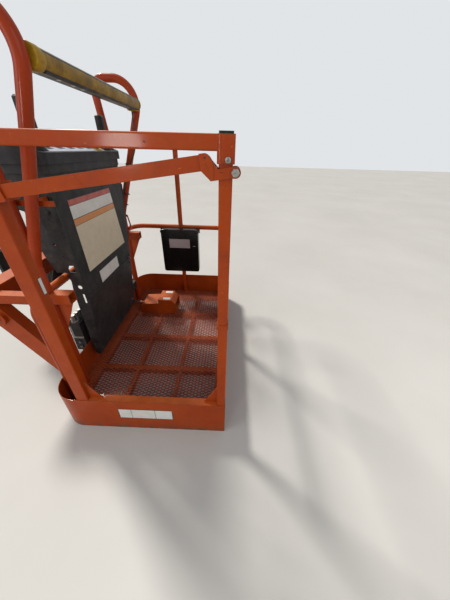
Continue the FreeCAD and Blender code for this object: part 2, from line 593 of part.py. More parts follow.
# Console: lower cover, housing, head with its sloped panel, control sticks and what holds them
def make_console():
    near, far = CONSOLE_NEAR_Y, CONSOLE_FAR_Y
    way = (0, far - near, 0)
    upper = [
        (CONSOLE_FACE_X, near, CONSOLE_TOP),
        (CONSOLE_SEAM_X, near, CONSOLE_SEAM),
        (CONSOLE_SEAM_X - SKIN_DEPTH, near, CONSOLE_SEAM),
        (CONSOLE_FACE_X - 2 * SKIN_DEPTH, near, HOUSING_STEP),
        (HOUSING_BACK_X, near, HOUSING_STEP + 40),
        (HOUSING_BACK_X, near, CONSOLE_TOP),
    ]
    body = console_body(0)
    nodes["console_housing"] = prism(upper, way).common(body)
    lower = [
        (CONSOLE_SEAM_X - COVER_STEP, near, CONSOLE_SEAM),
        (CONSOLE_FOOT_X, near, CONSOLE_BOTTOM),
        (CONSOLE_FOOT_X - COVER_DEPTH, near, CONSOLE_BOTTOM),
        (CONSOLE_SEAM_X - COVER_DEPTH, near, CONSOLE_SEAM),
    ]
    nodes["console_cover"] = union([prism(lower, way).common(body), make_cable_box()])
    slope = math.tan(math.radians(PANEL_SLOPE))
    back_top = RIM_FRONT_TOP + (RIM_X - CONSOLE_BACK_X) * slope
    y0, y1 = near - RIM_OVERHANG, far + RIM_OVERHANG
    head = prism([(RIM_X, y0, RIM_FRONT_TOP), (RIM_X, y0, RIM_GROOVE), (CONSOLE_BACK_X, y0, RIM_GROOVE),
                  (CONSOLE_BACK_X, y0, back_top)], (0, y1 - y0, 0))
    upright = [e for e in head.Edges if e.BoundBox.ZLength > 1 and e.BoundBox.XLength < 1]
    head = head.makeFillet(RIM_CORNER, upright)
    x0, x1 = CONSOLE_BACK_X + RIM_WALL, RIM_X - RIM_WALL
    low0 = RIM_FRONT_TOP + (RIM_X - x1) * slope - RIM_LIP
    low1 = RIM_FRONT_TOP + (RIM_X - x0) * slope - RIM_LIP
    inner_y = y0 + RIM_WALL
    recess = prism([(x1, inner_y, low0), (x1, inner_y, low0 + 60), (x0, inner_y, low1 + 60),
                    (x0, inner_y, low1)], (0, y1 - y0 - 2 * RIM_WALL, 0))
    upright = [e for e in recess.Edges if e.BoundBox.ZLength > 1 and e.BoundBox.XLength < 1]
    recess = recess.makeFillet(RIM_CORNER - RIM_WALL, upright)
    neck_x = RIM_X - RIM_OVERHANG + NECK_OVERHANG
    neck_middle = ((neck_x + HOUSING_BACK_X) / 2, (near + far) / 2)
    neck = rounded_slab((neck_x - HOUSING_BACK_X) / 2, (far - near) / 2 + NECK_OVERHANG, RIM_CORNER,
                        CONSOLE_TOP, RIM_GROOVE, neck_middle)
    nodes["console_head"] = union([head.cut(recess), neck])
    sticks = []
    for y in (near + STICK_END_SETBACK, far - STICK_END_SETBACK):
        base = RIM_FRONT_TOP + (RIM_X - STICK_X) * slope - RIM_LIP
        boot = Part.makeCone(STICK_BOOT_RADIUS, STICK_RADIUS, STICK_BOOT_HEIGHT, V(STICK_X, y, base))
        stem = Part.makeCylinder(STICK_RADIUS, STICK_HEIGHT, V(STICK_X, y, base + STICK_BOOT_HEIGHT - 1))
        grip_z = base + STICK_BOOT_HEIGHT + STICK_HEIGHT - 20
        grip = rounded_slab(STICK_GRIP_RADIUS * 0.7, STICK_GRIP_RADIUS, STICK_GRIP_RADIUS * 0.6, grip_z,
                            grip_z + GRIP_HEIGHT, (STICK_X, y))
        top = [e for e in grip.Edges if e.BoundBox.ZMin > grip_z + GRIP_HEIGHT - 1]
        grip = grip.makeChamfer(6, top)
        sticks.append(union([boot, stem, grip]).cut(nodes["console_head"]))
    nodes["control_sticks"] = Part.makeCompound(sticks)


def make_cable_box():
    """Small box at the cover's far end where the foot switch's cable goes in."""
    half = CABLE_BOX_WIDTH / 2
    return block(-CABLE_BOX_BACK, CONSOLE_FOOT_X + COVER_STEP, COVER_FAR_Y - half, SWITCH_Y + half,
                 CABLE_BOX_BOTTOM, CABLE_BOX_TOP)


# Console holders: a pierced plate at each end and a short open tube with a gusset on each hoop leg
def make_console_holders():
    back = -SIDE_PLATE_BACK
    skin = CONSOLE_SEAM_X - COVER_DEPTH
    notch_x = -RAIL_X + RAIL_TUBE / 2 + SIDE_NOTCH
    notch_low = MID_RAIL_HEIGHT - RAIL_TUBE / 2 - SIDE_NOTCH
    notch_high = MID_RAIL_HEIGHT + RAIL_TUBE / 2 + SIDE_NOTCH
    outline = [
        (CONSOLE_SEAM_X, TAPER_TOP),
        (back, TAPER_TOP),
        (back, 2 * notch_high - MID_RAIL_HEIGHT + 60),
        (back + 24, notch_high),
        (notch_x, notch_high),
        (notch_x, notch_low),
        (CONSOLE_FOOT_X - 2 * COVER_DEPTH, notch_low - 60),
        (CONSOLE_FOOT_X - 2 * COVER_DEPTH, CONSOLE_BOTTOM + 14),
        (CONSOLE_FOOT_X - COVER_DEPTH, CONSOLE_BOTTOM),
        (CONSOLE_FOOT_X, CONSOLE_BOTTOM),
        (CONSOLE_SEAM_X - COVER_STEP, CONSOLE_SEAM),
        (CONSOLE_SEAM_X - COVER_STEP, MID_RAIL_HEIGHT),
    ]
    plates = prism([(x, -END, z) for x, z in outline], (0, PLATFORM_LENGTH, 0))
    plates = plates.common(console_body(SIDE_PLATE)).cut(console_body(0))
    bolt_x, bolt_z = -SIDE + 36, notch_high + 132
    round_x, round_z = skin - 12, notch_low - 24
    holes = [
        block(skin - 32, skin - 4, -END, END, notch_high + 4, notch_high + 36),
        block(skin - 14, skin - 4, -END, END, notch_low - 112, notch_low - 62),
        round_bar((round_x, -END, round_z), (round_x, END, round_z), 20),
        round_bar((bolt_x, -END, bolt_z), (bolt_x, END, bolt_z), 10),
        make_cable_box(),
    ]
    nodes["console_sides"] = Part.makeCompound(plates.cut(Part.makeCompound(holes)).Solids)
    shelves = []
    x0 = HOOP_X + HOOP_TUBE / 2 + SEAT_GAP
    x1 = x0 + SHELF_LENGTH
    low = SHELF_TOP - SHELF_TUBE
    wall = SHELF_WALL
    for y in (NEAR_HOOP_Y, FAR_HOOP_Y):
        half = SHELF_TUBE / 2
        tube = block(x0, x1, y - half, y + half, low, SHELF_TOP)
        tube = tube.cut(block(x0 + wall, x1 + 1, y - half + wall, y + half - wall,
                              low + wall, SHELF_TOP - wall))
        gusset = prism([(x0, y, low), (x1 - 4, y, low), (x1 - 14, y, low - 16),
                        (x0, y, low - SHELF_GUSSET)], (0, wall, 0))
        shelves.append(union([tube, gusset]))
    nodes["console_shelves"] = Part.makeCompound(shelves)


# Entry bar: square tube with a pressed bracket at the right post and a hanger at the left post
def make_entry_bar():
    bx, bz = BOLT_X, BOLT_HEIGHT
    clear = BRACKET_CLEARANCE
    wall = BRACKET_WALL
    half = ENTRY_TUBE / 2
    bar_z = bz + BAR_RISE
    y_front, y_back = ENTRY_Y - clear - wall, ENTRY_BACK_Y + clear + wall
    start_x = bx - BAR_START
    left_x = bx - BAR_END
    bar = block(left_x, start_x, ENTRY_Y, ENTRY_BACK_Y, bar_z - half, bar_z + half)
    top = bar_z + half + 2
    low = bz - BRACKET_DROP
    lug = BRACKET_LUG_RADIUS
    crest_x = start_x + 2
    notch_x = bx - BRACKET_NOTCH
    notch_z = bz + lug
    start = V(start_x - 8, y_front, low + 22)
    edges = [
        Part.LineSegment(start, V(start_x - 8, y_front, top)).toShape(),
        Part.LineSegment(V(start_x - 8, y_front, top), V(crest_x, y_front, top)).toShape(),
        Part.Arc(V(crest_x, y_front, top), V(crest_x + 9, y_front, top - 6),
                 V(crest_x + 14, y_front, top - 15)).toShape(),
        Part.LineSegment(V(crest_x + 14, y_front, top - 15), V(notch_x, y_front, notch_z)).toShape(),
        Part.LineSegment(V(notch_x, y_front, notch_z), V(bx, y_front, notch_z)).toShape(),
        Part.Arc(V(bx, y_front, notch_z), V(bx + lug, y_front, bz), V(bx, y_front, bz - lug)).toShape(),
        Part.LineSegment(V(bx, y_front, bz - lug), V(bx - 12, y_front, low)).toShape(),
        Part.LineSegment(V(bx - 12, y_front, low), V(start_x + 10, y_front, low)).toShape(),
        Part.LineSegment(V(start_x + 10, y_front, low), start).toShape(),
    ]
    bracket = Part.Face(Part.Wire(edges)).extrude(V(0, y_back - y_front, 0))
    slot_x = RIGHT_POST_X - BRACKET_SLACK
    bracket = bracket.cut(block(slot_x, bx + 40, ENTRY_Y - clear, ENTRY_BACK_Y + clear, 0, 2000))
    bracket = bracket.cut(bar)
    shank = round_bar((bx, y_front - 1, bz), (bx, y_back + 1, bz), 2 * (BOLT_RADIUS + SHAFT_CLEARANCE))
    bracket = bracket.cut(shank)
    nodes["entry_bar"] = bar
    nodes["entry_bar_bracket"] = bracket
    pin_x = LEFT_POST_X - HANGER_PIN_RADIUS - 8
    half_hanger = HANGER_HEIGHT / 2
    hanger = block(pin_x - 12, left_x + 14, y_front, ENTRY_Y + POST_DEPTH + clear + wall,
                   bar_z - half_hanger, bar_z + half_hanger)
    hanger = hanger.cut(block(pin_x - 40, LEFT_POST_END_X + HANGER_SLACK, ENTRY_Y - clear,
                              ENTRY_Y + POST_DEPTH + clear, 0, 2000))
    pin = round_bar((pin_x, y_front, bar_z), (pin_x, ENTRY_Y + POST_DEPTH + clear + wall, bar_z),
                    2 * HANGER_PIN_RADIUS)
    hanger = union([hanger, pin]).cut(bar)
    nodes["entry_bar_hanger"] = hanger
    for name in ("entry_bar", "entry_bar_bracket", "entry_bar_hanger"):
        nodes[name].rotate(V(bx, 0, bz), V(0, 1, 0), -BAR_TILT)
    head = BOLT_HEAD_HEIGHT
    bolt = round_bar((bx, y_front - head, bz), (bx, y_back + head, bz), 2 * BOLT_RADIUS)
    for y0, y1 in ((y_front - head - 0.5, y_front - 0.5), (y_back + 0.5, y_back + head + 0.5)):
        corners = [(bx + BOLT_HEAD_RADIUS * math.cos(math.radians(60 * k)), y0,
                    bz + BOLT_HEAD_RADIUS * math.sin(math.radians(60 * k))) for k in range(6)]
        bolt = bolt.fuse(prism(corners, (0, y1 - y0, 0)))
    nodes["guide_bolt"] = bolt.removeSplitter()


# Document box on the far stile, with a lid that hinges along its top back edge
def make_document_box():
    back_y = RAIL_Y - RAIL_TUBE / 2 - SEAT_GAP
    front_y = back_y - BOX_DEPTH
    x0, x1 = FAR_STILE_X - BOX_WIDTH / 2, FAR_STILE_X + BOX_WIDTH / 2
    top = BOX_BOTTOM + BOX_HEIGHT
    outer = block(x0, x1, front_y, back_y, BOX_BOTTOM, top)
    low_edges = [e for e in outer.Edges if e.BoundBox.YLength > 1 and e.BoundBox.ZMax < BOX_BOTTOM + 1]
    outer = outer.makeFillet(BOX_CORNER, low_edges)
    wall = BOX_WALL
    hollow = block(x0 + wall, x1 - wall, front_y + wall, back_y - wall, BOX_BOTTOM + wall, top + 1)
    pin_y = back_y - LID_PIN_INSET
    pin_z = top + LID_PIN_RISE
    reach = LID_SIDE_CLEARANCE + wall
    box = outer.cut(hollow)
    pins = []
    for edge_x, side in ((x0, -1), (x1, 1)):
        skirt_x = edge_x + side * reach
        ear_x = skirt_x + side * LID_SIDE_CLEARANCE
        end_x = ear_x + side * LID_EAR_THICKNESS
        low_x, high_x = min(ear_x, end_x), max(ear_x, end_x)
        ear = block(low_x, high_x, pin_y - 6, back_y, top - LID_EAR_DROP - 10, top + 10)
        hole = round_bar((low_x - 1, pin_y, pin_z), (high_x + 1, pin_y, pin_z),
                         2 * (LID_PIN_RADIUS + SHAFT_CLEARANCE))
        low_x, high_x = min(edge_x, end_x), max(edge_x, end_x)
        strap = block(low_x, high_x, back_y - wall, back_y, top - LID_EAR_DROP - 10, top - LID_EAR_DROP)
        box = union([box, ear.cut(hole), strap])
        inner_x = edge_x + side * LID_SIDE_CLEARANCE
        pins.append(round_bar((inner_x, pin_y, pin_z), (end_x, pin_y, pin_z), 2 * LID_PIN_RADIUS))
        pins.append(round_bar((inner_x, pin_y, pin_z), (skirt_x, pin_y, pin_z), 2 * LID_EYE_RADIUS))
    nodes["document_box"] = box
    lid_top = top + LID_HEIGHT - LID_SKIRT
    rear_y = pin_y + LID_REAR_EDGE
    lid_x, lid_front = x0 - reach, front_y - reach
    lid = prism([(lid_x, lid_front, top - LID_SKIRT), (lid_x, lid_front, lid_top - LID_CROWN),
                 (lid_x, lid_front + LID_CROWN, lid_top), (lid_x, rear_y, lid_top),
                 (lid_x, rear_y, top - LID_SKIRT)], (x1 - x0 + 2 * reach, 0, 0))
    inside = block(x0 - LID_SIDE_CLEARANCE, x1 + LID_SIDE_CLEARANCE, front_y - LID_SIDE_CLEARANCE,
                   back_y + 1, top - LID_SKIRT - 1, top + LID_TOP_CLEARANCE)
    nodes["document_lid"] = union([lid.cut(inside)] + pins)


# Foot switch: rear housing with its cable gland, hood open to the front and the pedal under it
def make_foot_switch():
    half = SWITCH_WIDTH / 2
    wall = SWITCH_WALL
    floor = FLOOR_TOP
    hood_x = SWITCH_FRONT_X - SWITCH_HOOD_LENGTH
    side_y = SWITCH_Y - half
    rear_top = floor + SWITCH_REAR_HEIGHT
    rear_x = SWITCH_REAR_X
    rear = prism([(rear_x, side_y, floor), (hood_x, side_y, floor), (hood_x, side_y, rear_top + 8),
                  (rear_x + 30, side_y, rear_top), (rear_x, side_y, rear_top - SWITCH_REAR_FALL)],
                 (0, SWITCH_WIDTH, 0))
    upright = [e for e in rear.Edges if e.BoundBox.ZLength > 20 and e.BoundBox.XMax < rear_x + 1]
    rear = rear.makeFillet(4 * SWITCH_CORNER, upright)
    gland = round_bar((rear_x - GLAND_LENGTH, SWITCH_Y, SWITCH_CABLE_HEIGHT),
                      (rear_x + 30, SWITCH_Y, SWITCH_CABLE_HEIGHT), 2 * GLAND_RADIUS)
    nodes["foot_switch_housing"] = union([rear, gland])
    hood = prism([(hood_x, side_y, floor), (SWITCH_FRONT_X, side_y, floor),
                  (SWITCH_FRONT_X, side_y, floor + SWITCH_HEIGHT - SWITCH_NOSE),
                  (SWITCH_FRONT_X - 30, side_y, floor + SWITCH_HEIGHT),
                  (hood_x, side_y, floor + SWITCH_HEIGHT)], (0, SWITCH_WIDTH, 0))
    crown = [e for e in hood.Edges if e.BoundBox.XLength > 20 and e.BoundBox.ZMax > floor + 60]
    hood = hood.makeFillet(SWITCH_CORNER, crown)
    inner_x, inner_y = hood_x + wall, side_y + wall
    inner_top = floor + SWITCH_HEIGHT - wall
    front_x = SWITCH_FRONT_X
    inner = prism([(inner_x, inner_y, floor + wall), (front_x + 1, inner_y, floor + wall),
                   (front_x + 1, inner_y, inner_top - SWITCH_NOSE), (front_x - 30, inner_y, inner_top),
                   (inner_x, inner_y, inner_top)], (0, SWITCH_WIDTH - 2 * wall, 0))
    nodes["foot_switch_hood"] = hood.cut(inner)
    pedal_half = half - wall - PEDAL_SIDE_CLEARANCE
    pedal_y = SWITCH_Y - pedal_half
    toe_x = hood_x + PEDAL_LENGTH
    pedal = prism([(inner_x, pedal_y, floor + PEDAL_HEEL), (toe_x, pedal_y, floor + PEDAL_TOE),
                   (toe_x, pedal_y, floor + PEDAL_TOE - PEDAL_THICKNESS),
                   (inner_x + 6, pedal_y, floor + wall), (inner_x, pedal_y, floor + wall)],
                  (0, 2 * pedal_half, 0))
    nodes["foot_switch_pedal"] = pedal
    start_x = rear_x - GLAND_LENGTH
    rise_x = 2 * SWITCH_CABLE - CABLE_BOX_BACK
    turn = 24
    route = [
        (start_x, SWITCH_Y, SWITCH_CABLE_HEIGHT),
        (rise_x + turn, SWITCH_Y, SWITCH_CABLE_HEIGHT),
        (rise_x, SWITCH_Y, SWITCH_CABLE_HEIGHT + turn),
        (rise_x + 2, SWITCH_Y, (SWITCH_CABLE_HEIGHT + turn + CABLE_BOX_BOTTOM) / 2 - 10),
        (rise_x + 2, SWITCH_Y, CABLE_BOX_BOTTOM),
    ]
    nodes["foot_switch_cable"] = bent_tube(route, SWITCH_CABLE, cord_bends(route))


def cord_bends(route):
    """Bend radius at each corner of a cord, from the shorter of its two runs."""
    points = [V(*p) for p in route]
    radii = []
    for before, corner, after in zip(points, points[1:], points[2:]):
        turn = (corner - before).getAngle(after - corner)
        shorter = min((corner - before).Length, (after - corner).Length)
        radii.append(0.45 * shorter / math.tan(turn / 2))
    runs = [round((b - a).Length) for a, b in zip(points, points[1:])]
    print("cord runs", runs, "radii", [round(r) for r in radii])
    return radii


# Boom-side support: two braces from the floor edge, a strut to each hoop and the cross tube between
def make_support():
    top_run = (BRACE_TOP - TOE_BOARD_HEIGHT) / BRACE_SLOPE
    end_run = -SIDE - BRACE_END_X
    low_end = BRACE_LOW + end_run * BRACE_SLOPE
    anchors = []
    for name, side in (("near", -1), ("far", 1)):
        middle_y = SUPPORT_CENTRE_Y + side * SUPPORT_HALF_SPAN
        y = middle_y - BRACE_WIDTH / 2
        strut_y0, strut_y1 = middle_y - STRUT_TUBE / 2, middle_y + STRUT_TUBE / 2
        outline = [(-SIDE, y, BRACE_LOW), (-SIDE, y, TOE_BOARD_HEIGHT), (-SIDE - top_run, y, BRACE_TOP),
                   (BRACE_END_X, y, BRACE_TOP), (BRACE_END_X, y, low_end)]
        brace = prism(outline, (0, BRACE_WIDTH, 0))
        strut_top = BRACE_TOP - STRUT_DROP
        strut = block(-SIDE - top_run - STRUT_TUBE, -SIDE, strut_y0, strut_y1,
                      strut_top - STRUT_TUBE, strut_top)
        strut_end = block(-SIDE, HOOP_X - HOOP_TUBE / 4, strut_y0, strut_y1,
                          strut_top - STRUT_TUBE, strut_top)
        hoop_room = round_bar((HOOP_X, middle_y, 0), (HOOP_X, middle_y, BRACE_TOP),
                              HOOP_TUBE + 2 * SEAT_GAP)
        rail_room = round_bar((-RAIL_X, -END, MID_RAIL_HEIGHT), (-RAIL_X, END, MID_RAIL_HEIGHT),
                              RAIL_TUBE + 2 * SEAT_GAP)
        whole = union([brace, strut, strut_end]).cut(hoop_room).cut(rail_room)
        nodes["brace_" + name] = max(whole.Solids, key=lambda piece: piece.Volume)
        outer_y = middle_y + side * BRACE_WIDTH / 2
        eye_x = -SIDE - (EYE_HEIGHT - (TOE_BOARD_HEIGHT + BRACE_LOW) / 2) / BRACE_SLOPE
        eye_end_y = outer_y + side * EYE_THICKNESS
        eye = round_bar((eye_x, outer_y, EYE_HEIGHT), (eye_x, eye_end_y, EYE_HEIGHT), 2 * EYE_RADIUS)
        ring_x = eye_x + EYE_RADIUS
        ring_y = middle_y
        foot_z = TOE_BOARD_HEIGHT + (-SIDE - ring_x) * BRACE_SLOPE
        corners = [(ring_x, ring_y, foot_z), (ring_x, ring_y, foot_z + ANCHOR_RISE),
                   (ring_x - ANCHOR_LENGTH, ring_y, foot_z + ANCHOR_RISE + ANCHOR_LENGTH),
                   (ring_x - ANCHOR_LENGTH, ring_y, foot_z + ANCHOR_LENGTH)]
        ring = bent_tube(corners, ANCHOR_ROD, (ANCHOR_ROD * 1.5, ANCHOR_ROD * 1.5)).cut(whole)
        anchors.append(eye)
        anchors.append(max(ring.Solids, key=lambda piece: piece.Volume))
    nodes["anchor_points"] = Part.makeCompound(anchors)
    y0 = SUPPORT_CENTRE_Y - SUPPORT_HALF_SPAN + BRACE_WIDTH / 2
    y1 = SUPPORT_CENTRE_Y + SUPPORT_HALF_SPAN - BRACE_WIDTH / 2
    nodes["support_cross_tube"] = square_tube(BRACE_END_X, CROSS_X, y0, y1,
                                              BRACE_TOP - CROSS_TUBE, BRACE_TOP, "Y")
    valve_x = -SIDE - VALVE_X
    nodes["valve_block"] = block(valve_x, -SIDE, VALVE_Y - VALVE_WIDTH / 2, VALVE_Y + VALVE_WIDTH / 2,
                                 VALVE_BOTTOM, VALVE_TOP)
    fittings = []
    for number in range(FITTING_COUNT):
        y = VALVE_Y + (number - (FITTING_COUNT - 1) / 2) * FITTING_PITCH
        foot = V(-SIDE - VALVE_X / 2, y, VALVE_TOP)
        fittings.append(Part.makeCylinder(FITTING_RADIUS, FITTING_HEIGHT, foot))
    nodes["hose_fittings"] = Part.makeCompound(fittings)


# Rotator: ribbed mounting plate and round actuator body with a boss at each end
def make_rotator():
    y, half = SUPPORT_CENTRE_Y, PLATE_WIDTH / 2
    plate = block(PLATE_X, BRACE_END_X, y - half, y + half, ROTATOR_BOTTOM, ROTATOR_TOP)
    saddle = block(ROTATOR_X, PLATE_X, y - half / 2, y + half / 2, ROTATOR_BOTTOM + ROTATOR_COLLAR,
                   ROTATOR_TOP - ROTATOR_COLLAR)
    rib_low = BRACE_TOP - CROSS_TUBE
    ribs = []
    for side in (-1, 1):
        rib_y = y + side * RIB_SPACING / 2 - RIB_THICKNESS / 2
        ribs.append(prism([(BRACE_END_X, rib_y, ROTATOR_BOTTOM), (BRACE_END_X, rib_y, rib_low),
                           (CROSS_X - TUBE_CORNER, rib_y, rib_low)], (0, RIB_THICKNESS, 0)))
    collar_low = Part.makeCylinder(ROTATOR_RADIUS, ROTATOR_COLLAR, V(ROTATOR_X, y, ROTATOR_BOTTOM))
    collar_high = Part.makeCylinder(ROTATOR_RADIUS, ROTATOR_COLLAR,
                                    V(ROTATOR_X, y, ROTATOR_TOP - ROTATOR_COLLAR))
    waist = Part.makeCylinder(ROTATOR_WAIST, ROTATOR_HEIGHT, V(ROTATOR_X, y, ROTATOR_BOTTOM))
    nodes["rotator_plate"] = union([plate, saddle] + ribs).cut(waist)
    boss_low = Part.makeCylinder(BOSS_RADIUS, BOSS_HEIGHT, V(ROTATOR_X, y, ROTATOR_BOTTOM - BOSS_HEIGHT))
    boss_high = Part.makeCylinder(BOSS_RADIUS, BOSS_HEIGHT, V(ROTATOR_X, y, ROTATOR_TOP))
    nodes["rotator_body"] = union([waist, collar_low, collar_high, boss_low, boss_high])


# Swing bracket: two arms on the rotator's bosses, an upright between them and ears for the jib's pins
def make_swing_bracket():
    y = SUPPORT_CENTRE_Y
    half = ARM_WIDTH / 2
    reach_x = ROTATOR_X - BRACKET_REACH
    low = ROTATOR_BOTTOM - ARM_GAP - ARM_THICKNESS
    high = ROTATOR_TOP + ARM_GAP + ARM_THICKNESS
    back_x = reach_x - ARM_THICKNESS
    pieces = [block(back_x, reach_x, y - half, y + half, low, high)]
    for z0 in (low, high - ARM_THICKNESS):
        arm = block(reach_x, ROTATOR_X, y - half, y + half, z0, z0 + ARM_THICKNESS)
        eye = Part.makeCylinder(half, ARM_THICKNESS, V(ROTATOR_X, y, z0))
        pieces.append(arm.fuse(eye))
    bracket = union(pieces)
    outer = [e for e in bracket.Edges if e.BoundBox.YLength > 100 and e.BoundBox.XMax < back_x + 1]
    bracket = bracket.makeFillet(ARM_THICKNESS - 2, outer)
    hole = Part.makeCylinder(BOSS_RADIUS + SHAFT_CLEARANCE, high - low + 2, V(ROTATOR_X, y, low - 1))
    nodes["swing_frame"] = bracket.cut(hole)
    pin_x = ROTATOR_X - JIB_PIN_OFFSET
    middle = (low + high) / 2
    pairs = []
    for z in (middle - JIB_PIN_DROP, middle + JIB_PIN_DROP):
        for side in (-1, 1):
            inner = y + side * JIB_EAR_GAP / 2
            y0 = min(inner, inner + side * JIB_EAR_THICKNESS)
            plate = block(pin_x, back_x, y0, y0 + JIB_EAR_THICKNESS, z - JIB_EAR_RADIUS,
                          z + JIB_EAR_RADIUS)
            eye = round_bar((pin_x, y0, z), (pin_x, y0 + JIB_EAR_THICKNESS, z), 2 * JIB_EAR_RADIUS)
            bore = round_bar((pin_x, y0 - 1, z), (pin_x, y0 + JIB_EAR_THICKNESS + 1, z), 2 * JIB_PIN_RADIUS)
            pairs.append(union([plate, eye]).cut(bore))
    nodes["jib_ears"] = Part.makeCompound(pairs)


make_floor()
make_toe_boards()
make_entry()
make_guard_rails()
make_stiles()
make_hoops()
make_console()
make_console_holders()
make_sensor_bar()
make_entry_bar()
make_document_box()
make_foot_switch()
make_support()
make_rotator()
make_swing_bracket()

for name, shape in nodes.items():
    if not shape.isValid():
        print("not valid:", name)
    shape.exportStep("parts/" + name + ".step")
print(len(nodes), "nodes, bar travel", BAR_TRAVEL)
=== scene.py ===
import math
import random
import bmesh
import bpy
from mathutils import Matrix, Vector


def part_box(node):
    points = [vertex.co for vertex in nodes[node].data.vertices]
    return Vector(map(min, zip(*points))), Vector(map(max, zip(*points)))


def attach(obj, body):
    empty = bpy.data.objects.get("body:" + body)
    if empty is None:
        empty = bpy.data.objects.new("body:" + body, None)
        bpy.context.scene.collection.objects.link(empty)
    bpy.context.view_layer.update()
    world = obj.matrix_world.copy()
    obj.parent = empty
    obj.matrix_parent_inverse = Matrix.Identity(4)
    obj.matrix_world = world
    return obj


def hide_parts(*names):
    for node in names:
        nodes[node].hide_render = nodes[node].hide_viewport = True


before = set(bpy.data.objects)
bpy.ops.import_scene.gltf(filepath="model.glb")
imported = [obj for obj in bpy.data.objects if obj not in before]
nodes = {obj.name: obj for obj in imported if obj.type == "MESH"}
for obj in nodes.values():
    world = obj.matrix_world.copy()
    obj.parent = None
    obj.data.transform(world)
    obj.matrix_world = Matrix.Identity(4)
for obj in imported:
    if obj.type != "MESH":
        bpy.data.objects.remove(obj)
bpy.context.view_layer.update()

random.seed(7)


# Shader helpers

def new_material(name):
    mat = bpy.data.materials.new(name)
    mat.use_nodes = True
    return mat


class Graph:
    """Short calls for building one material's nodes."""

    def __init__(self, name):
        self.mat = new_material(name)
        self.tree = self.mat.node_tree
        self.shader = self.tree.nodes["Principled BSDF"]
        self.coord = self.add("ShaderNodeTexCoord").outputs["Object"]
        self.bevel = None

    def add(self, kind, **values):
        node = self.tree.nodes.new(kind)
        for key, value in values.items():
            setattr(node, key, value)
        return node

    def link(self, a, b):
        self.tree.links.new(a, b)

    def scaled(self, x, y, z):
        node = self.add("ShaderNodeMapping")
        node.inputs["Scale"].default_value = (x, y, z)
        self.link(self.coord, node.inputs["Vector"])
        return node.outputs["Vector"]

    def noise(self, scale, detail=4.0, rough=0.6, vector=None, distort=0.0):
        node = self.add("ShaderNodeTexNoise")
        node.inputs["Scale"].default_value = scale
        node.inputs["Detail"].default_value = detail
        node.inputs["Roughness"].default_value = rough
        node.inputs["Distortion"].default_value = distort
        self.link(vector or self.coord, node.inputs["Vector"])
        return node.outputs["Fac"]

    def voronoi(self, scale, vector=None, feature="F1"):
        node = self.add("ShaderNodeTexVoronoi", feature=feature)
        node.inputs["Scale"].default_value = scale
        self.link(vector or self.coord, node.inputs["Vector"])
        return node.outputs["Distance"]

    def ramp(self, value, low, high, out_low=0.0, out_high=1.0):
        node = self.add("ShaderNodeMapRange")
        node.inputs["From Min"].default_value = low
        node.inputs["From Max"].default_value = high
        node.inputs["To Min"].default_value = out_low
        node.inputs["To Max"].default_value = out_high
        self.link(value, node.inputs["Value"])
        return node.outputs["Result"]

    def math(self, operation, a, b):
        node = self.add("ShaderNodeMath", operation=operation)
        for socket, value in zip(node.inputs, (a, b)):
            if isinstance(value, (int, float)):
                socket.default_value = value
            else:
                self.link(value, socket)
        return node.outputs["Value"]

    def mix(self, factor, a, b):
        node = self.add("ShaderNodeMix", data_type="RGBA")
        for socket, value in ((node.inputs["Factor"], factor), (node.inputs["A"], a), (node.inputs["B"], b)):
            if isinstance(value, (int, float)):
                socket.default_value = value
            elif isinstance(value, tuple):
                socket.default_value = value + (1.0,) if len(value) == 3 else value
            else:
                self.link(value, socket)
        return node.outputs["Result"]

    def facing_up(self, low=0.5, high=0.95):
        geo = self.add("ShaderNodeNewGeometry")
        split = self.add("ShaderNodeSeparateXYZ")
        self.link(geo.outputs["Normal"], split.inputs["Vector"])
        return self.ramp(split.outputs["Z"], low, high)

    def height(self):
        split = self.add("ShaderNodeSeparateXYZ")
        self.link(self.coord, split.inputs["Vector"])
        return split.outputs["Z"]

    def along_x(self):
        split = self.add("ShaderNodeSeparateXYZ")
        self.link(self.coord, split.inputs["Vector"])
        return split.outputs["X"]

    def edges(self, radius=0.002):
        """Bright on hard outer edges, and a rounded normal for them."""
        bevel = self.add("ShaderNodeBevel", samples=4)
        bevel.inputs["Radius"].default_value = radius
        geo = self.add("ShaderNodeNewGeometry")
        dot = self.add("ShaderNodeVectorMath", operation="DOT_PRODUCT")
        self.link(bevel.outputs["Normal"], dot.inputs[0])
        self.link(geo.outputs["Normal"], dot.inputs[1])
        self.bevel = bevel.outputs["Normal"]
        return self.ramp(dot.outputs["Value"], 0.985, 0.86)

    def bump(self, value, distance, strength=1.0):
        node = self.add("ShaderNodeBump")
        node.inputs["Strength"].default_value = strength
        node.inputs["Distance"].default_value = distance
        self.link(value, node.inputs["Height"])
        if self.bevel is not None:
            self.link(self.bevel, node.inputs["Normal"])
        self.bevel = node.outputs["Normal"]

    def finish(self, color, rough, metallic=0.0, specular=0.5, coat=0.0, coat_rough=0.25):
        for name, value in (("Base Color", color), ("Roughness", rough)):
            socket = self.shader.inputs[name]
            if isinstance(value, (int, float)):
                socket.default_value = value
            elif isinstance(value, tuple):
                socket.default_value = value + (1.0,)
            else:
                self.link(value, socket)
        self.shader.inputs["Metallic"].default_value = metallic
        self.shader.inputs["Specular IOR Level"].default_value = specular
        self.shader.inputs["Coat Weight"].default_value = coat
        self.shader.inputs["Coat Roughness"].default_value = coat_rough
        if self.bevel is not None:
            self.link(self.bevel, self.shader.inputs["Normal"])
        return self.mat


# Materials

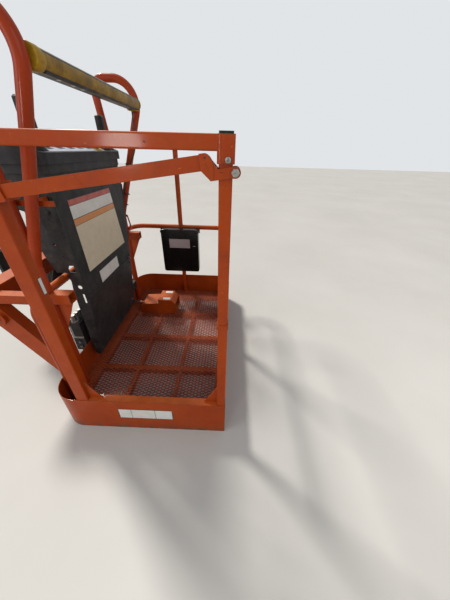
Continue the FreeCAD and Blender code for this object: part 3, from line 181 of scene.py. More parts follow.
def painted(name, base, faded_and_highlight, deep, chip, dust_amount=0.10, rust=False):
    """Worn gloss paint on steel: fading, dust, fine scratches, chipped edges, and a lighter edge line that is partly a
    painted highlight.
    """
    g = Graph(name)
    edge = g.edges(0.0028)
    broad = g.ramp(g.noise(5.0, 3.0), 0.35, 0.68)
    color = g.mix(broad, deep, base)
    up = g.facing_up(0.35, 0.95)
    bleach = g.math("MULTIPLY", up, g.ramp(g.noise(14.0, 5.0), 0.25, 0.7, 0.35, 0.95))
    color = g.mix(bleach, color, faded_and_highlight)
    mottle = g.ramp(g.noise(150.0, 6.0, 0.75), 0.42, 0.62, 0.0, 0.22)
    color = g.mix(mottle, color, deep)
    dust = g.math("MULTIPLY", g.ramp(g.noise(38.0, 8.0, 0.72), 0.5, 0.8), dust_amount)
    color = g.mix(dust, color, (0.36, 0.16, 0.065))
    streaks = g.ramp(g.noise(30.0, 6.0, 0.7, g.scaled(6.0, 6.0, 0.5)), 0.60, 0.74, 0.0, 0.22)
    color = g.mix(streaks, color, (0.20, 0.075, 0.03))
    grime = g.ramp(g.noise(17.0, 8.0, 0.75, distort=0.6), 0.54, 0.70, 0.0, 0.38)
    color = g.mix(grime, color, (0.13, 0.030, 0.010))
    # Lighter line along hard edges: partly rubbed paint, partly a painted highlight.
    color = g.mix(g.math("MULTIPLY", edge, 0.55), color, faded_and_highlight)
    scratch_a = g.ramp(g.noise(60.0, 2.0, 0.5, g.scaled(1.0, 12.0, 1.2)), 0.70, 0.74)
    scratch_b = g.ramp(g.noise(55.0, 2.0, 0.5, g.scaled(11.0, 1.0, 1.0)), 0.71, 0.75)
    scratch = g.math("MAXIMUM", scratch_a, scratch_b)
    color = g.mix(g.math("MULTIPLY", scratch, 0.55), color, faded_and_highlight)
    chips = g.math("MULTIPLY", edge, g.ramp(g.noise(95.0, 5.0, 0.7), 0.46, 0.55))
    spots = g.ramp(g.voronoi(120.0), 0.10, 0.05)
    spots = g.math("MULTIPLY", spots, g.ramp(g.noise(9.0, 2.0), 0.58, 0.70))
    chips = g.math("MAXIMUM", chips, spots)
    color = g.mix(chips, color, chip)
    if rust:
        low = g.ramp(g.height(), 0.040, 0.004)
        worn = g.math("MULTIPLY", low, g.ramp(g.noise(42.0, 8.0, 0.75), 0.46, 0.56))
        rounded = g.math("MULTIPLY", g.ramp(g.height(), 0.085, 0.012), g.ramp(g.along_x(), -0.235, -0.300))
        bare = g.math("MULTIPLY", rounded, g.ramp(g.noise(64.0, 8.0, 0.8), 0.49, 0.57))
        color = g.mix(g.math("MAXIMUM", worn, bare), color, (0.12, 0.055, 0.028))
        color = g.mix(g.math("MULTIPLY", bare, g.ramp(g.noise(90.0, 5.0, 0.7), 0.50, 0.60)), color, (0.30, 0.27, 0.24))
    rough = g.ramp(g.noise(24.0, 5.0), 0.3, 0.75, 0.34, 0.56)
    rough = g.math("MAXIMUM", rough, g.math("MULTIPLY", chips, 0.8))
    relief = g.math("SUBTRACT", g.noise(340.0, 3.0), g.math("MULTIPLY", chips, 0.8))
    relief = g.math("SUBTRACT", relief, g.math("MULTIPLY", scratch, 0.4))
    g.bump(relief, 0.0004, 0.5)
    return g.finish(color, rough, specular=0.10, coat=0.16, coat_rough=0.11)


def plastic(name, dark, light, grain=420.0, rough=(0.45, 0.65), dust=0.25, relief=0.0004, coat=0.0, mottle=0.0,
            specular=0.45):
    """Moulded or vinyl surface with a fine grain, scuffs and settled dust."""
    g = Graph(name)
    edge = g.edges(0.0025)
    color = g.mix(g.ramp(g.noise(7.0, 4.0), 0.3, 0.7), dark, light)
    if mottle:
        color = g.mix(g.ramp(g.noise(34.0, 7.0, 0.72), 0.38, 0.62), light, tuple(c * 0.55 for c in light))
        stain = g.math("MULTIPLY", g.ramp(g.noise(11.0, 6.0, 0.7), 0.44, 0.66), mottle)
        color = g.mix(stain, color, dark)
    up = g.facing_up(0.2, 0.95)
    haze = g.math("MULTIPLY", g.ramp(g.noise(26.0, 7.0, 0.7), 0.42, 0.8), dust)
    haze = g.math("MULTIPLY", haze, g.math("ADD", g.math("MULTIPLY", up, 0.9), 0.35))
    color = g.mix(haze, color, (0.30, 0.26, 0.22))
    scuff = g.ramp(g.noise(48.0, 4.0, 0.6, g.scaled(1.0, 7.0, 2.5)), 0.66, 0.74, 0.0, 0.4)
    color = g.mix(scuff, color, tuple(min(1.0, c * 2.2 + 0.03) for c in light))
    color = g.mix(g.math("MULTIPLY", edge, 0.35), color, tuple(min(1.0, c * 1.8 + 0.03) for c in light))
    level = g.ramp(g.noise(18.0, 4.0), 0.3, 0.7, rough[0], rough[1])
    g.bump(g.math("ADD", g.noise(grain, 2.0), g.math("MULTIPLY", g.voronoi(grain * 1.4), 0.6)), relief, 0.55)
    return g.finish(color, level, specular=specular, coat=coat)


def plated(name, base, stain):
    """Zinc-plated or bare steel, dulled in patches."""
    g = Graph(name)
    g.edges(0.0008)
    color = g.mix(g.ramp(g.noise(120.0, 6.0, 0.7), 0.42, 0.68), base, stain)
    rough = g.ramp(g.noise(160.0, 5.0), 0.3, 0.7, 0.28, 0.55)
    g.bump(g.noise(600.0, 2.0), 0.0002, 0.4)
    return g.finish(color, rough, metallic=0.85)


def film(name, base, soil=(0.36, 0.32, 0.27), rough=(0.35, 0.5), scuffs=0.35):
    """Printed label film with yellowing and grime in patches, and scuffs."""
    g = Graph(name)
    color = g.mix(g.ramp(g.noise(22.0, 6.0, 0.7), 0.40, 0.80, 0.0, 0.4), base, soil)
    scratch = g.ramp(g.noise(90.0, 3.0, 0.6, g.scaled(1.0, 5.0, 9.0)), 0.64, 0.70, 0.0, scuffs)
    color = g.mix(scratch, color, soil)
    level = g.ramp(g.noise(40.0, 4.0), 0.3, 0.7, rough[0], rough[1])
    g.bump(g.noise(80.0, 4.0), 0.0002, 0.3)
    return g.finish(color, level, specular=0.5)


ORANGE = painted("orange_paint", (0.34, 0.048, 0.003), (0.50, 0.115, 0.024), (0.28, 0.033, 0.002), (0.12, 0.07, 0.05))
BOARD = painted("board_paint", (0.33, 0.046, 0.003), (0.48, 0.110, 0.024), (0.27, 0.032, 0.002), (0.10, 0.055, 0.04),
                rust=True)
HOOP = painted("hoop_paint", (0.32, 0.036, 0.005), (0.46, 0.085, 0.036), (0.26, 0.026, 0.004), (0.11, 0.07, 0.06))
MESH = painted("mesh_paint", (0.27, 0.035, 0.010), (0.38, 0.080, 0.038), (0.17, 0.022, 0.007), (0.12, 0.07, 0.055), 0.35)
BLACK_STEEL = plastic("black_steel", (0.010, 0.010, 0.011), (0.022, 0.022, 0.024), 260.0, (0.35, 0.55), 0.4, 0.0003,
                      specular=0.22)
CONSOLE = plastic("console_plastic", (0.011, 0.0115, 0.012), (0.024, 0.025, 0.026), 520.0, (0.42, 0.6), 0.24, 0.0005,
                  specular=0.16)
RIM = plastic("console_rim", (0.009, 0.0095, 0.0105), (0.021, 0.022, 0.024), 420.0, (0.36, 0.52), 0.22, 0.0004,
              specular=0.16)
BLACK = plastic("black_plastic", (0.005, 0.005, 0.005), (0.012, 0.012, 0.012), 380.0, (0.4, 0.55), 0.2,
                specular=0.2)
GLOSS_BLACK = plastic("gloss_black", (0.003, 0.003, 0.003), (0.006, 0.006, 0.006), 300.0, (0.14, 0.26), 0.03, 0.00015,
                      coat=0.10, specular=0.25)
YELLOW = plastic("yellow_vinyl", (0.075, 0.036, 0.005), (0.31, 0.175, 0.008), 300.0, (0.38, 0.55), 0.08, 0.0006,
                 mottle=0.65, specular=0.18)
CAP_YELLOW = plastic("yellow_moulding", (0.16, 0.080, 0.006), (0.40, 0.235, 0.012), 300.0, (0.36, 0.5), 0.08, 0.0006,
                     mottle=0.5, specular=0.22)
GREY_STRIP = plastic("worn_strip", (0.012, 0.013, 0.014), (0.034, 0.037, 0.041), 220.0, (0.25, 0.45), 0.25, 0.0006,
                     specular=0.25)
RUBBER = plastic("cable_rubber", (0.006, 0.006, 0.006), (0.014, 0.014, 0.015), 500.0, (0.45, 0.6), 0.25, 0.0002)
ZINC = plated("zinc", (0.32, 0.32, 0.305), (0.13, 0.12, 0.11))
DARK_BOLT = plated("dark_bolt", (0.18, 0.18, 0.19), (0.10, 0.09, 0.08))
WHITE_FILM = film("white_film", (0.62, 0.61, 0.58))
CREAM_FILM = film("cream_film", (0.58, 0.50, 0.36))
RED_FILM = film("red_film", (0.40, 0.045, 0.030))
ORANGE_FILM = film("orange_film", (0.58, 0.20, 0.035))
GREY_FILM = film("grey_film", (0.29, 0.235, 0.245))
LINE_FILM = film("line_film", (0.020, 0.020, 0.021), (0.10, 0.09, 0.08))
PANEL_FILM = film("panel_film", (0.42, 0.47, 0.52), (0.22, 0.24, 0.26), (0.3, 0.45))
YELLOW_FILM = film("yellow_cap", (0.60, 0.40, 0.03))
WHITE_CLIP = film("white_clip", (0.55, 0.55, 0.53))

BY_NODE = {
    ORANGE: ("floor_frame", "entry_post_right", "entry_post_left", "entry_top_rail", "bar_stop", "entry_step",
             "post_gussets", "top_rail_right", "top_rail_far", "top_rail_left", "mid_rail_right", "mid_rail_far",
             "mid_rail_left", "far_stile", "right_stile", "entry_bar", "entry_bar_bracket", "entry_bar_hanger",
             "foot_switch_hood", "foot_switch_housing", "brace_near", "brace_far", "anchor_points",
             "support_cross_tube", "hoop_tabs", "console_shelves"),
    BOARD: ("toe_board_near", "toe_board_left", "toe_board_far", "toe_board_right"),
    HOOP: ("hoop_near", "hoop_far"),
    MESH: ("floor_mesh",),
    BLACK_STEEL: ("sensor_channel", "console_sides", "rotator_plate", "rotator_body", "swing_frame", "jib_ears",
                  "valve_block"),
    YELLOW: ("sensor_pad",),
    CAP_YELLOW: ("sensor_caps",),
    CONSOLE: ("console_housing", "console_cover"),
    RIM: ("console_head",),
    BLACK: ("control_sticks", "post_cap", "foot_switch_pedal"),
    GLOSS_BLACK: ("document_box", "document_lid"),
    RUBBER: ("sensor_cable", "foot_switch_cable"),
    ZINC: ("guide_bolt", "hose_fittings"),
}
for material, names in BY_NODE.items():
    for name in names:
        mesh = nodes[name].data
        mesh.materials.clear()
        mesh.materials.append(material)


# Piece helpers

def from_bmesh(name, bm, material, body="platform", smooth=False):
    mesh = bpy.data.meshes.new(name)
    bmesh.ops.recalc_face_normals(bm, faces=bm.faces)
    bm.to_mesh(mesh)
    bm.free()
    obj = bpy.data.objects.new(name, mesh)
    bpy.context.collection.objects.link(obj)
    materials = material if isinstance(material, (list, tuple)) else [material]
    for each in materials:
        mesh.materials.append(each)
    for polygon in mesh.polygons:
        polygon.use_smooth = smooth
    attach(obj, body)
    return obj


def add_box(bm, matrix, size, index=0, chamfer=0.0):
    """Box centred on the matrix, in its own axes."""
    made = bmesh.ops.create_cube(bm, size=1.0, matrix=matrix @ Matrix.Diagonal(Vector(size).to_4d()))
    faces = {f for v in made["verts"] for f in v.link_faces}
    if chamfer:
        edges = list({e for f in faces for e in f.edges})
        result = bmesh.ops.bevel(bm, geom=edges, offset=chamfer, segments=2, profile=0.6, affect="EDGES")
        faces = set(result["faces"]) | {f for f in faces if f.is_valid}
    for face in faces:
        face.material_index = index


def frame_at(origin, x_axis, y_axis):
    """Matrix with its origin and its X and Y axes along the ones given."""
    x = Vector(x_axis).normalized()
    z = x.cross(Vector(y_axis)).normalized()
    y = z.cross(x)
    return Matrix((x, y, z)).transposed().to_4x4().copy() if origin is None else (
        Matrix.Translation(Vector(origin)) @ Matrix((x, y, z)).transposed().to_4x4())


def add_disc(bm, matrix, radius, height, sides=24, index=0, dome=0.0):
    """Prism or cylinder standing on the matrix's XY plane, with a shallow dome if asked."""
    rings = [(radius, 0.0), (radius, height - dome)]
    if dome:
        rings += [(radius * 0.86, height - dome * 0.35), (radius * 0.5, height)]
    rows = []
    for ring_radius, z in rings:
        row = []
        for k in range(sides):
            a = 2 * math.pi * k / sides
            row.append(bm.verts.new(matrix @ Vector((ring_radius * math.cos(a), ring_radius * math.sin(a), z))))
        rows.append(row)
    for low, high in zip(rows, rows[1:]):
        for k in range(sides):
            face = bm.faces.new((low[k], low[(k + 1) % sides], high[(k + 1) % sides], high[k]))
            face.material_index = index
    for row in (rows[0], rows[-1]):
        bm.faces.new(row).material_index = index


def add_bead(bm, points, radius, closed=False, sides=8, wobble=0.25):
    """Irregular bead along a line of points, such as a weld."""
    count = len(points)
    rows = []
    for i, point in enumerate(points):
        before = points[i - 1] if (i > 0 or closed) else points[i]
        after = points[(i + 1) % count] if (i < count - 1 or closed) else points[i]
        way = (Vector(after) - Vector(before)).normalized()
        side = way.orthogonal().normalized()
        other = way.cross(side)
        r = radius * (1.0 + wobble * (random.random() - 0.5))
        row = []
        for k in range(sides):
            a = 2 * math.pi * k / sides
            row.append(bm.verts.new(Vector(point) + side * (r * math.cos(a)) + other * (r * math.sin(a))))
        rows.append(row)
    pairs = list(zip(rows, rows[1:]))
    if closed:
        pairs.append((rows[-1], rows[0]))
    for low, high in pairs:
        shift = min(range(sides), key=lambda s: (low[0].co - high[s].co).length)
        for k in range(sides):
            bm.faces.new((low[k], low[(k + 1) % sides], high[(k + 1 + shift) % sides], high[(k + shift) % sides]))
    if not closed:
        bm.faces.new(rows[0])
        bm.faces.new(rows[-1])


def box_of(name):
    low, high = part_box(name)
    return Vector(low), Vector(high)


# Floor: expanded metal, a zigzag strand for each half row of diamonds, with its section tilted

def make_floor():
    low, high = box_of("floor_mesh")
    half_x, half_y = (high.x - low.x) / 2, (high.y - low.y) / 2
    centre = (low + high) / 2
    corner = 0.112
    long_way, short_way = 0.0345, 0.0165
    width = 0.0044
    top, bottom = high.z, low.z

    def inside(x, y):
        """Point moved onto the rounded outline when it lies outside it."""
        x = max(-half_x, min(half_x, x))
        y = max(-half_y, min(half_y, y))
        cx, cy = half_x - corner, half_y - corner
        if abs(x) > cx and abs(y) > cy:
            dx, dy = abs(x) - cx, abs(y) - cy
            far = math.hypot(dx, dy)
            if far > corner:
                x = math.copysign(cx + dx * corner / far, x)
                y = math.copysign(cy + dy * corner / far, y)
        return x, y

    bm = bmesh.new()
    strands = int(2 * half_y / (short_way / 2)) + 1
    steps = int(2 * half_x / (long_way / 2)) + 2
    for k in range(strands):
        y0 = -half_y + k * short_way / 2
        rows = []
        for i in range(steps):
            up = (i + k) % 2 == 0
            x_mid = -half_x + i * long_way / 2
            flat = 0.0024
            for dx in (-flat, flat):
                y = y0 + (short_way / 2 if up else 0.0)
                lean = width / 2
                x_a, y_a = inside(x_mid + dx, y - lean)
                x_b, y_b = inside(x_mid + dx, y + lean)
                rise = 0.0008 if up else 0.0
                rows.append((
                    bm.verts.new((centre.x + x_a, centre.y + y_a, bottom + 0.0001)),
                    bm.verts.new((centre.x + x_b, centre.y + y_b, bottom + 0.0016)),
                    bm.verts.new((centre.x + x_b, centre.y + y_b, top - 0.0008 + rise)),
                    bm.verts.new((centre.x + x_a, centre.y + y_a, top - 0.0022 + rise)),
                ))
        for a, b in zip(rows, rows[1:]):
            for n in range(4):
                m = (n + 1) % 4
                bm.faces.new((a[n], a[m], b[m], b[n]))
        bm.faces.new(rows[0])
        bm.faces.new(rows[-1])
    mesh_floor = from_bmesh("floor_expanded", bm, MESH)
    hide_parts("floor_mesh")


# Cables: smooth lines on the same route points as the part

def leg_x(z):
    return -0.358 + (z - 0.71) * math.tan(math.radians(19.1))


def make_cable(name, node, route, diameter):
    curve = bpy.data.curves.new(name, "CURVE")
    curve.dimensions = "3D"
    spline = curve.splines.new("NURBS")
    spline.points.add(len(route) - 1)
    for point, place in zip(spline.points, route):
        point.co = (*place, 1.0)
    spline.order_u = 3
    spline.use_endpoint_u = True
    spline.resolution_u = 8
    curve.bevel_depth = diameter / 2
    curve.bevel_resolution = 4
    curve.use_fill_caps = True
    curve.materials.append(RUBBER)
    obj = bpy.data.objects.new(name, curve)
    bpy.context.collection.objects.link(obj)
    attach(obj, "platform")
    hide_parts(node)
    return obj


def make_cables():
    channel_low, channel_high = box_of("sensor_channel")
    exit_x = (channel_low.x + channel_high.x) / 2
    exit_y = channel_high.y - 0.016
    bar_z = (channel_low.z + channel_high.z) / 2
    side_y = 0.44 - 0.0228
    route = [(exit_x, exit_y, channel_low.z), (exit_x, exit_y, channel_low.z - 0.067)]
    # Columns: forward of the leg's middle, inward from the leg's side, drop below the bar's middle
    for forward, inward, drop in ((0.030, 0.008, 0.171), (0.031, 0.004, 0.236), (0, 0, 0.306), (0.002, 0.0065, 0.361),
                                  (-0.001, 0, 0.424), (0.002, 0, 0.484), (0, 0, 0.521)):
        z = bar_z - drop
        route.append((leg_x(z) + forward, side_y - inward, z))
    plate_y = 0.338 - 0.080 * (0.910 - 0.729) / (0.910 - 0.484)
    route.append((-0.346, (plate_y + side_y) / 2 + 0.008, 0.729))
    route.append((-0.346, plate_y - 0.001, 0.729))
    make_cable("sensor_cord", "sensor_cable", route, 0.007)
    route = [(-0.299, 0.315, 0.085), (-0.332, 0.315, 0.085), (-0.356, 0.315, 0.109), (-0.354, 0.315, 0.1445),
             (-0.354, 0.315, 0.200)]
    make_cable("foot_switch_cord", "foot_switch_cable", route, 0.007)


make_floor()
make_cables()


# Flat films and plates laid on a face

def add_patch(bm, matrix, x0, x1, y0, y1, lift, index, thick=0.0004):
    """Thin sheet on the matrix's XY plane."""
    middle = matrix @ Matrix.Translation(((x0 + x1) / 2, (y0 + y1) / 2, lift + thick / 2))
    add_box(bm, middle, (abs(x1 - x0), abs(y1 - y0), thick), index)


def console_face():
    """Matrix on the console's front face: X along +Y of the basket, Y up the face, Z out of it."""
    top, seam = Vector((-0.284, 0.0, 1.010)), Vector((-0.280, 0.0, 0.484))
    return frame_at(seam, (0, 1, 0), top - seam)


def cover_face():
    seam, foot = Vector((-0.283, 0.0, 0.484)), Vector((-0.318, 0.0, 0.122))
    return frame_at(foot, (0, 1, 0), seam - foot)


def make_films():
    films = [WHITE_FILM, RED_FILM, ORANGE_FILM, CREAM_FILM, LINE_FILM, GREY_FILM]
    bm = bmesh.new()
    m = console_face()
    # Columns: low and high edge up the face, material, inset
    for y0, y1, index, inset in ((0.110, 0.428, 4, 0.0), (0.405, 0.426, 1, 0.002), (0.352, 0.403, 0, 0.002),
                                 (0.324, 0.349, 2, 0.002), (0.112, 0.322, 3, 0.002)):
        lift = 0.0004 if inset else 0.0
        corners = []
        for y in (y0, y1):
            right = 0.165 + 0.048 * (0.428 - y) / 0.318
            corners.append((-0.212 + inset, right - inset, y))
        (a0, a1, low_y), (b0, b1, high_y) = corners
        flat = [(a0, low_y), (a1, low_y), (b1, high_y), (b0, high_y)]
        rows = [[bm.verts.new(m @ Vector((x, y, lift + rise))) for x, y in flat] for rise in (0.0, 0.0004)]
        faces = [bm.faces.new(rows[1]), bm.faces.new(rows[0])]
        for k in range(4):
            n = (k + 1) % 4
            faces.append(bm.faces.new((rows[0][k], rows[0][n], rows[1][n], rows[1][k])))
        for face in faces:
            face.material_index = index
    for y0, y1, index, lift, inset in ((0.012, 0.080, 4, 0.0, 0.0), (0.015, 0.077, 0, 0.0004, 0.002)):
        add_patch(bm, m, -0.138 + inset, 0.076 - inset, y0, y1, lift, index)
    decals = from_bmesh("console_decals", bm, films)

    bm = bmesh.new()
    m = frame_at((0.0, -0.61, 0.0), (1, 0, 0), (0, 0, 1))
    for x0, x1, index, lift in ((-0.086, 0.152, 4, 0.0), (-0.083, -0.030, 0, 0.0004), (-0.028, 0.074, 0, 0.0004),
                                (0.076, 0.149, 0, 0.0004)):
        edge = 0.0 if index == 4 else 0.003
        add_patch(bm, m, x0, x1, 0.076 + edge, 0.141 - edge, lift, index)
    m = frame_at((-0.202, 0.0, 0.0), (0, 1, 0), (0, 0, 1))
    add_patch(bm, m, -0.590, -0.575, 0.698, 0.756, 0.0, 4)
    add_patch(bm, m, -0.588, -0.577, 0.700, 0.754, 0.0004, 0)
    for y in (0.268, 0.362):
        hood = frame_at((-0.075, y, 0.155), (1, 0, 0), (0, 1, 0))
        add_patch(bm, hood, -0.030, 0.022, -0.013, 0.013, 0.0, 0)
    low, high = box_of("document_box")
    m = frame_at((0.0, low.y, 0.0), (1, 0, 0), (0, 0, 1))
    add_patch(bm, m, -0.080, 0.074, 0.456, 0.524, 0.0, 5)
    add_patch(bm, m, 0.096, 0.116, 0.470, 0.473, 0.0, 5)
    labels = from_bmesh("blank_labels", bm, films)


def make_console_panel():
    slope = math.radians(17.0)
    front = Vector((-0.274, 0.0, 1.0797 - 0.012))
    m = frame_at(front, (0, 1, 0), (-math.cos(slope), 0, math.sin(slope)))
    near, far = -0.293, 0.336
    bm = bmesh.new()
    add_box(bm, m @ Matrix.Translation(((near + far) / 2, 0.0965, 0.0015)), (far - near + 0.006, 0.185, 0.003), 0, 0.0012)
    # Columns: along the panel, up the panel, size along, size up, height, material
    rows = [(-0.165 + 0.055 * k, 0.135, 0.020, 0.030, 0.016, 1) for k in range(7)]
    rows += [(-0.150 + 0.075 * k, 0.075, 0.026, 0.026, 0.012, 1) for k in range(5)]
    for along, up, sx, sy, sz, index in rows:
        add_box(bm, m @ Matrix.Translation((along, up, 0.003)), (sx + 0.014, sy + 0.014, 0.003), 1, 0.001)
        rock = Matrix.Rotation(0.22 if (round(along * 1000) % 2) else -0.2, 4, "X")
        add_box(bm, m @ Matrix.Translation((along, up, 0.003 + sz / 2)) @ rock, (sx, sy, sz), index, 0.002)
    knob = m @ Matrix.Translation((0.205, 0.055, 0.003))
    add_disc(bm, knob, 0.030, 0.004, 32, 3)
    add_disc(bm, knob @ Matrix.Translation((0, 0, 0.004)), 0.014, 0.012, 24, 1)
    add_disc(bm, knob @ Matrix.Translation((0, 0, 0.014)), 0.021, 0.014, 32, 2, dome=0.006)
    dial = m @ Matrix.Translation((-0.240, 0.132, 0.003))
    add_disc(bm, dial, 0.026, 0.003, 32, 1)
    add_disc(bm, dial @ Matrix.Translation((0, 0, 0.003)), 0.019, 0.014, 12, 1, dome=0.003)
    for along in (near + 0.012, far - 0.012):
        for up in (0.014, 0.176):
            add_disc(bm, m @ Matrix.Translation((along, up, 0.003)), 0.0055, 0.0035, 16, 4, dome=0.002)
    panel = from_bmesh("console_panel", bm, [PANEL_FILM, BLACK, RED_FILM, YELLOW_FILM, ZINC])


def make_console_trim():
    bm = bmesh.new()
    m = console_face()
    c = cover_face()
    # Screws: along, up, on the upper face or the cover
    for on, along, up in ((m, -0.270, 0.500), (m, 0.315, 0.500), (m, -0.252, 0.022), (m, 0.236, 0.022),
                          (c, -0.252, 0.330), (c, 0.236, 0.330), (c, -0.252, 0.022), (c, 0.236, 0.022)):
        add_disc(bm, on @ Matrix.Translation((along, up, 0.0)), 0.0080, 0.0012, 20, 0)
        add_disc(bm, on @ Matrix.Translation((along, up, 0.0012)), 0.0055, 0.0032, 20, 0, dome=0.002)
    at = c @ Matrix.Translation((0.222, 0.050, 0.0))
    add_disc(bm, at, 0.0055, 0.0040, 20, 1, dome=0.002)
    clip = m @ Matrix.Translation((0.226, 0.0, 0.002))
    add_box(bm, clip, (0.014, 0.022, 0.004), 1, 0.001)
    add_box(bm, clip @ Matrix.Translation((0.0, 0.004, 0.004)), (0.008, 0.009, 0.004), 1, 0.001)
    # Raised rib along the seam and short ribs under it
    add_box(bm, m @ Matrix.Translation((-0.0085, 0.004, 0.0005)), (0.523, 0.005, 0.003), 0, 0.001)
    for k in range(8):
        add_box(bm, c @ Matrix.Translation((-0.222 + k * 0.061, 0.010, 0.0005)), (0.036, 0.004, 0.002), 0, 0.0008)
    # Access plate on the housing's back with its screws and two sockets
    add_box(bm, Matrix.Translation((-0.4412, 0.0215, 0.951)), (0.0030, 0.520, 0.092), 0, 0.0010)
    for y in (-0.226, -0.060, 0.104, 0.269):
        for z in (0.913, 0.989):
            add_disc(bm, frame_at((-0.4427, y, z), (0, -1, 0), (0, 0, 1)), 0.0060, 0.0034, 20, 1, dome=0.002)
    for y in (-0.144, 0.187):
        socket = frame_at((-0.4427, y, 0.949), (0, -1, 0), (0, 0, 1))
        add_disc(bm, socket, 0.024, 0.0035, 6, 0)
        add_disc(bm, socket @ Matrix.Translation((0, 0, 0.0035)), 0.017, 0.014, 28, 0, dome=0.003)
    trim = from_bmesh("console_trim", bm, [CONSOLE, ZINC])
    bm = bmesh.new()
    # Bolts of the end plates. Columns: Y of the outer face at the taper's top, how far it draws in
    for top_y, drawn_in in ((-0.295, 0.020), (0.338, -0.080)):
        way = 1 if drawn_in > 0 else -1
        for x, z in ((-0.318, 0.880), (-0.390, 0.880), (-0.330, 0.300), (-0.330, 0.190)):
            share = min(1.0, (0.910 - z) / 0.426)
            lean = (0, -drawn_in, 0.426) if share < 1.0 else (0, 0, 1)
            at = frame_at((x, top_y + drawn_in * share, z), (way, 0, 0), lean)
            add_disc(bm, at, 0.009, 0.0014, 20)
            add_disc(bm, at @ Matrix.Translation((0, 0, 0.0014)), 0.0065, 0.005, 6)
    bolts = from_bmesh("end_plate_bolts", bm, BLACK_STEEL)


def make_sensor_trim():
    low, high = box_of("sensor_pad")
    cap_low, cap_high = box_of("sensor_caps")
    channel_low, channel_high = box_of("sensor_channel")
    middle_z = (low.z + high.z) / 2
    depth = (high.z - low.z) / 2
    width = high.x - low.x
    radius = (depth * depth + width * width) / (2 * width)
    centre_x = high.x - radius
    near, far = low.y + 0.0345, high.y - 0.007
    limit = math.asin(min(1.0, depth / radius)) - 0.02
    # Columns: name, material, first and last angle round the pad's front
    # The second strip is a black sheet on the pad's downward-facing side: painted shade.
    for name, material, start, end in (("sensor_wear_strip", GREY_STRIP, math.radians(40), limit),
                                       ("sensor_under_painted_shade", BLACK_STEEL, -limit, -math.radians(50))):
        bm = bmesh.new()
        steps, parts = 10, 60
        outer, inner = [], []
        for j in range(parts + 1):
            y = near + (far - near) * j / parts
            ring_out, ring_in = [], []
            for i in range(steps + 1):
                a = start + (end - start) * i / steps
                if (i == 0 and start > 0) or (i == steps and start < 0):
                    a += 0.035 * math.sin(j * 1.3) * math.sin(j * 0.37 + 1.0)
                ripple = 0.0003 * math.sin(j * 1.7 + i * 0.9)
                for ring, r in ((ring_out, radius + 0.0011 + ripple), (ring_in, radius - 0.0005)):
                    ring.append(bm.verts.new((centre_x + r * math.cos(a), y, middle_z + r * math.sin(a))))
            outer.append(ring_out)
            inner.append(ring_in)
        for j in range(parts):
            for i in range(steps):
                bm.faces.new((outer[j][i], outer[j + 1][i], outer[j + 1][i + 1], outer[j][i + 1]))
                bm.faces.new((inner[j][i], inner[j][i + 1], inner[j + 1][i + 1], inner[j + 1][i]))
            for i in (0, steps):
                bm.faces.new((outer[j][i], inner[j][i], inner[j + 1][i], outer[j + 1][i]))
        for j in (0, parts):
            for i in range(steps):
                bm.faces.new((outer[j][i], outer[j][i + 1], inner[j][i + 1], inner[j][i]))
        strip = from_bmesh(name, bm, material, smooth=True)
    make_sensor_caps(low, high, channel_low, near)
    bm = bmesh.new()
    for y in (-0.257, -0.179, -0.121):
        place = Matrix.Translation((channel_high.x + 0.004, y, channel_low.z - 0.0010))
        add_box(bm, place, (0.010, 0.011, 0.005), 0, 0.0015)
    clips = from_bmesh("sensor_clips", bm, WHITE_CLIP)
    bm = bmesh.new()
    for y in (channel_low.y + 0.14, (channel_low.y + channel_high.y) / 2, channel_high.y - 0.14):
        for z in (middle_z - 0.012, middle_z + 0.012):
            at = frame_at((channel_low.x, y, z), (0, -1, 0), (0, 0, 1))
            add_disc(bm, at, 0.0075, 0.0012, 18)
            add_disc(bm, at @ Matrix.Translation((0, 0, 0.0012)), 0.0052, 0.0035, 6)
    screws = from_bmesh("sensor_bolts", bm, ZINC)


def make_sensor_caps(low, high, channel_low, near_end):
    """Closed moulded cap at the near end, thin plate with a lower lip at the far one."""
    middle_z = (low.z + high.z) / 2

    def outline(margin, y):
        half = (high.z - low.z) / 2 + margin
        width = high.x - low.x + margin
        radius = (half * half + width * width) / (2 * width)
        swing = math.asin(min(1.0, half / radius))
        back = channel_low.x - margin
        points = [(back, middle_z - half), (back, middle_z + half)]
        for k in range(17):
            a = swing * (1.0 - k / 8.0)
            points.append((low.x + width - radius + radius * math.cos(a), middle_z + radius * math.sin(a)))
        return [Vector((x, y, z)) for x, z in points]

    bm = bmesh.new()
    near_y, far_y = low.y - 0.0001, high.y
    for sections in (((0.0008, near_y), (0.0026, near_y + 0.003), (0.0030, near_end - 0.006), (0.0026, near_end - 0.002),
                      (0.0006, near_end)),
                     ((0.0015, far_y - 0.007), (0.0030, far_y - 0.0055), (0.0030, far_y - 0.001), (0.0020, far_y))):
        rows = [[bm.verts.new(point) for point in outline(margin, y)] for margin, y in sections]
        for a, b in zip(rows, rows[1:]):
            for k in range(len(a)):
                n = (k + 1) % len(a)
                bm.faces.new((a[k], a[n], b[n], b[k]))
        bm.faces.new(rows[0])
        bm.faces.new(rows[-1])
    lip = Matrix.Translation((low.x - 0.004, far_y - 0.024, low.z - 0.0016))
    add_box(bm, lip, (0.050, 0.044, 0.0026), 0, 0.0008)
    caps = from_bmesh("sensor_end_caps", bm, CAP_YELLOW)
    for polygon in caps.data.polygons:
        polygon.use_smooth = len(polygon.vertices) == 4 and abs(polygon.normal.y) < 0.9
    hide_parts("sensor_caps")


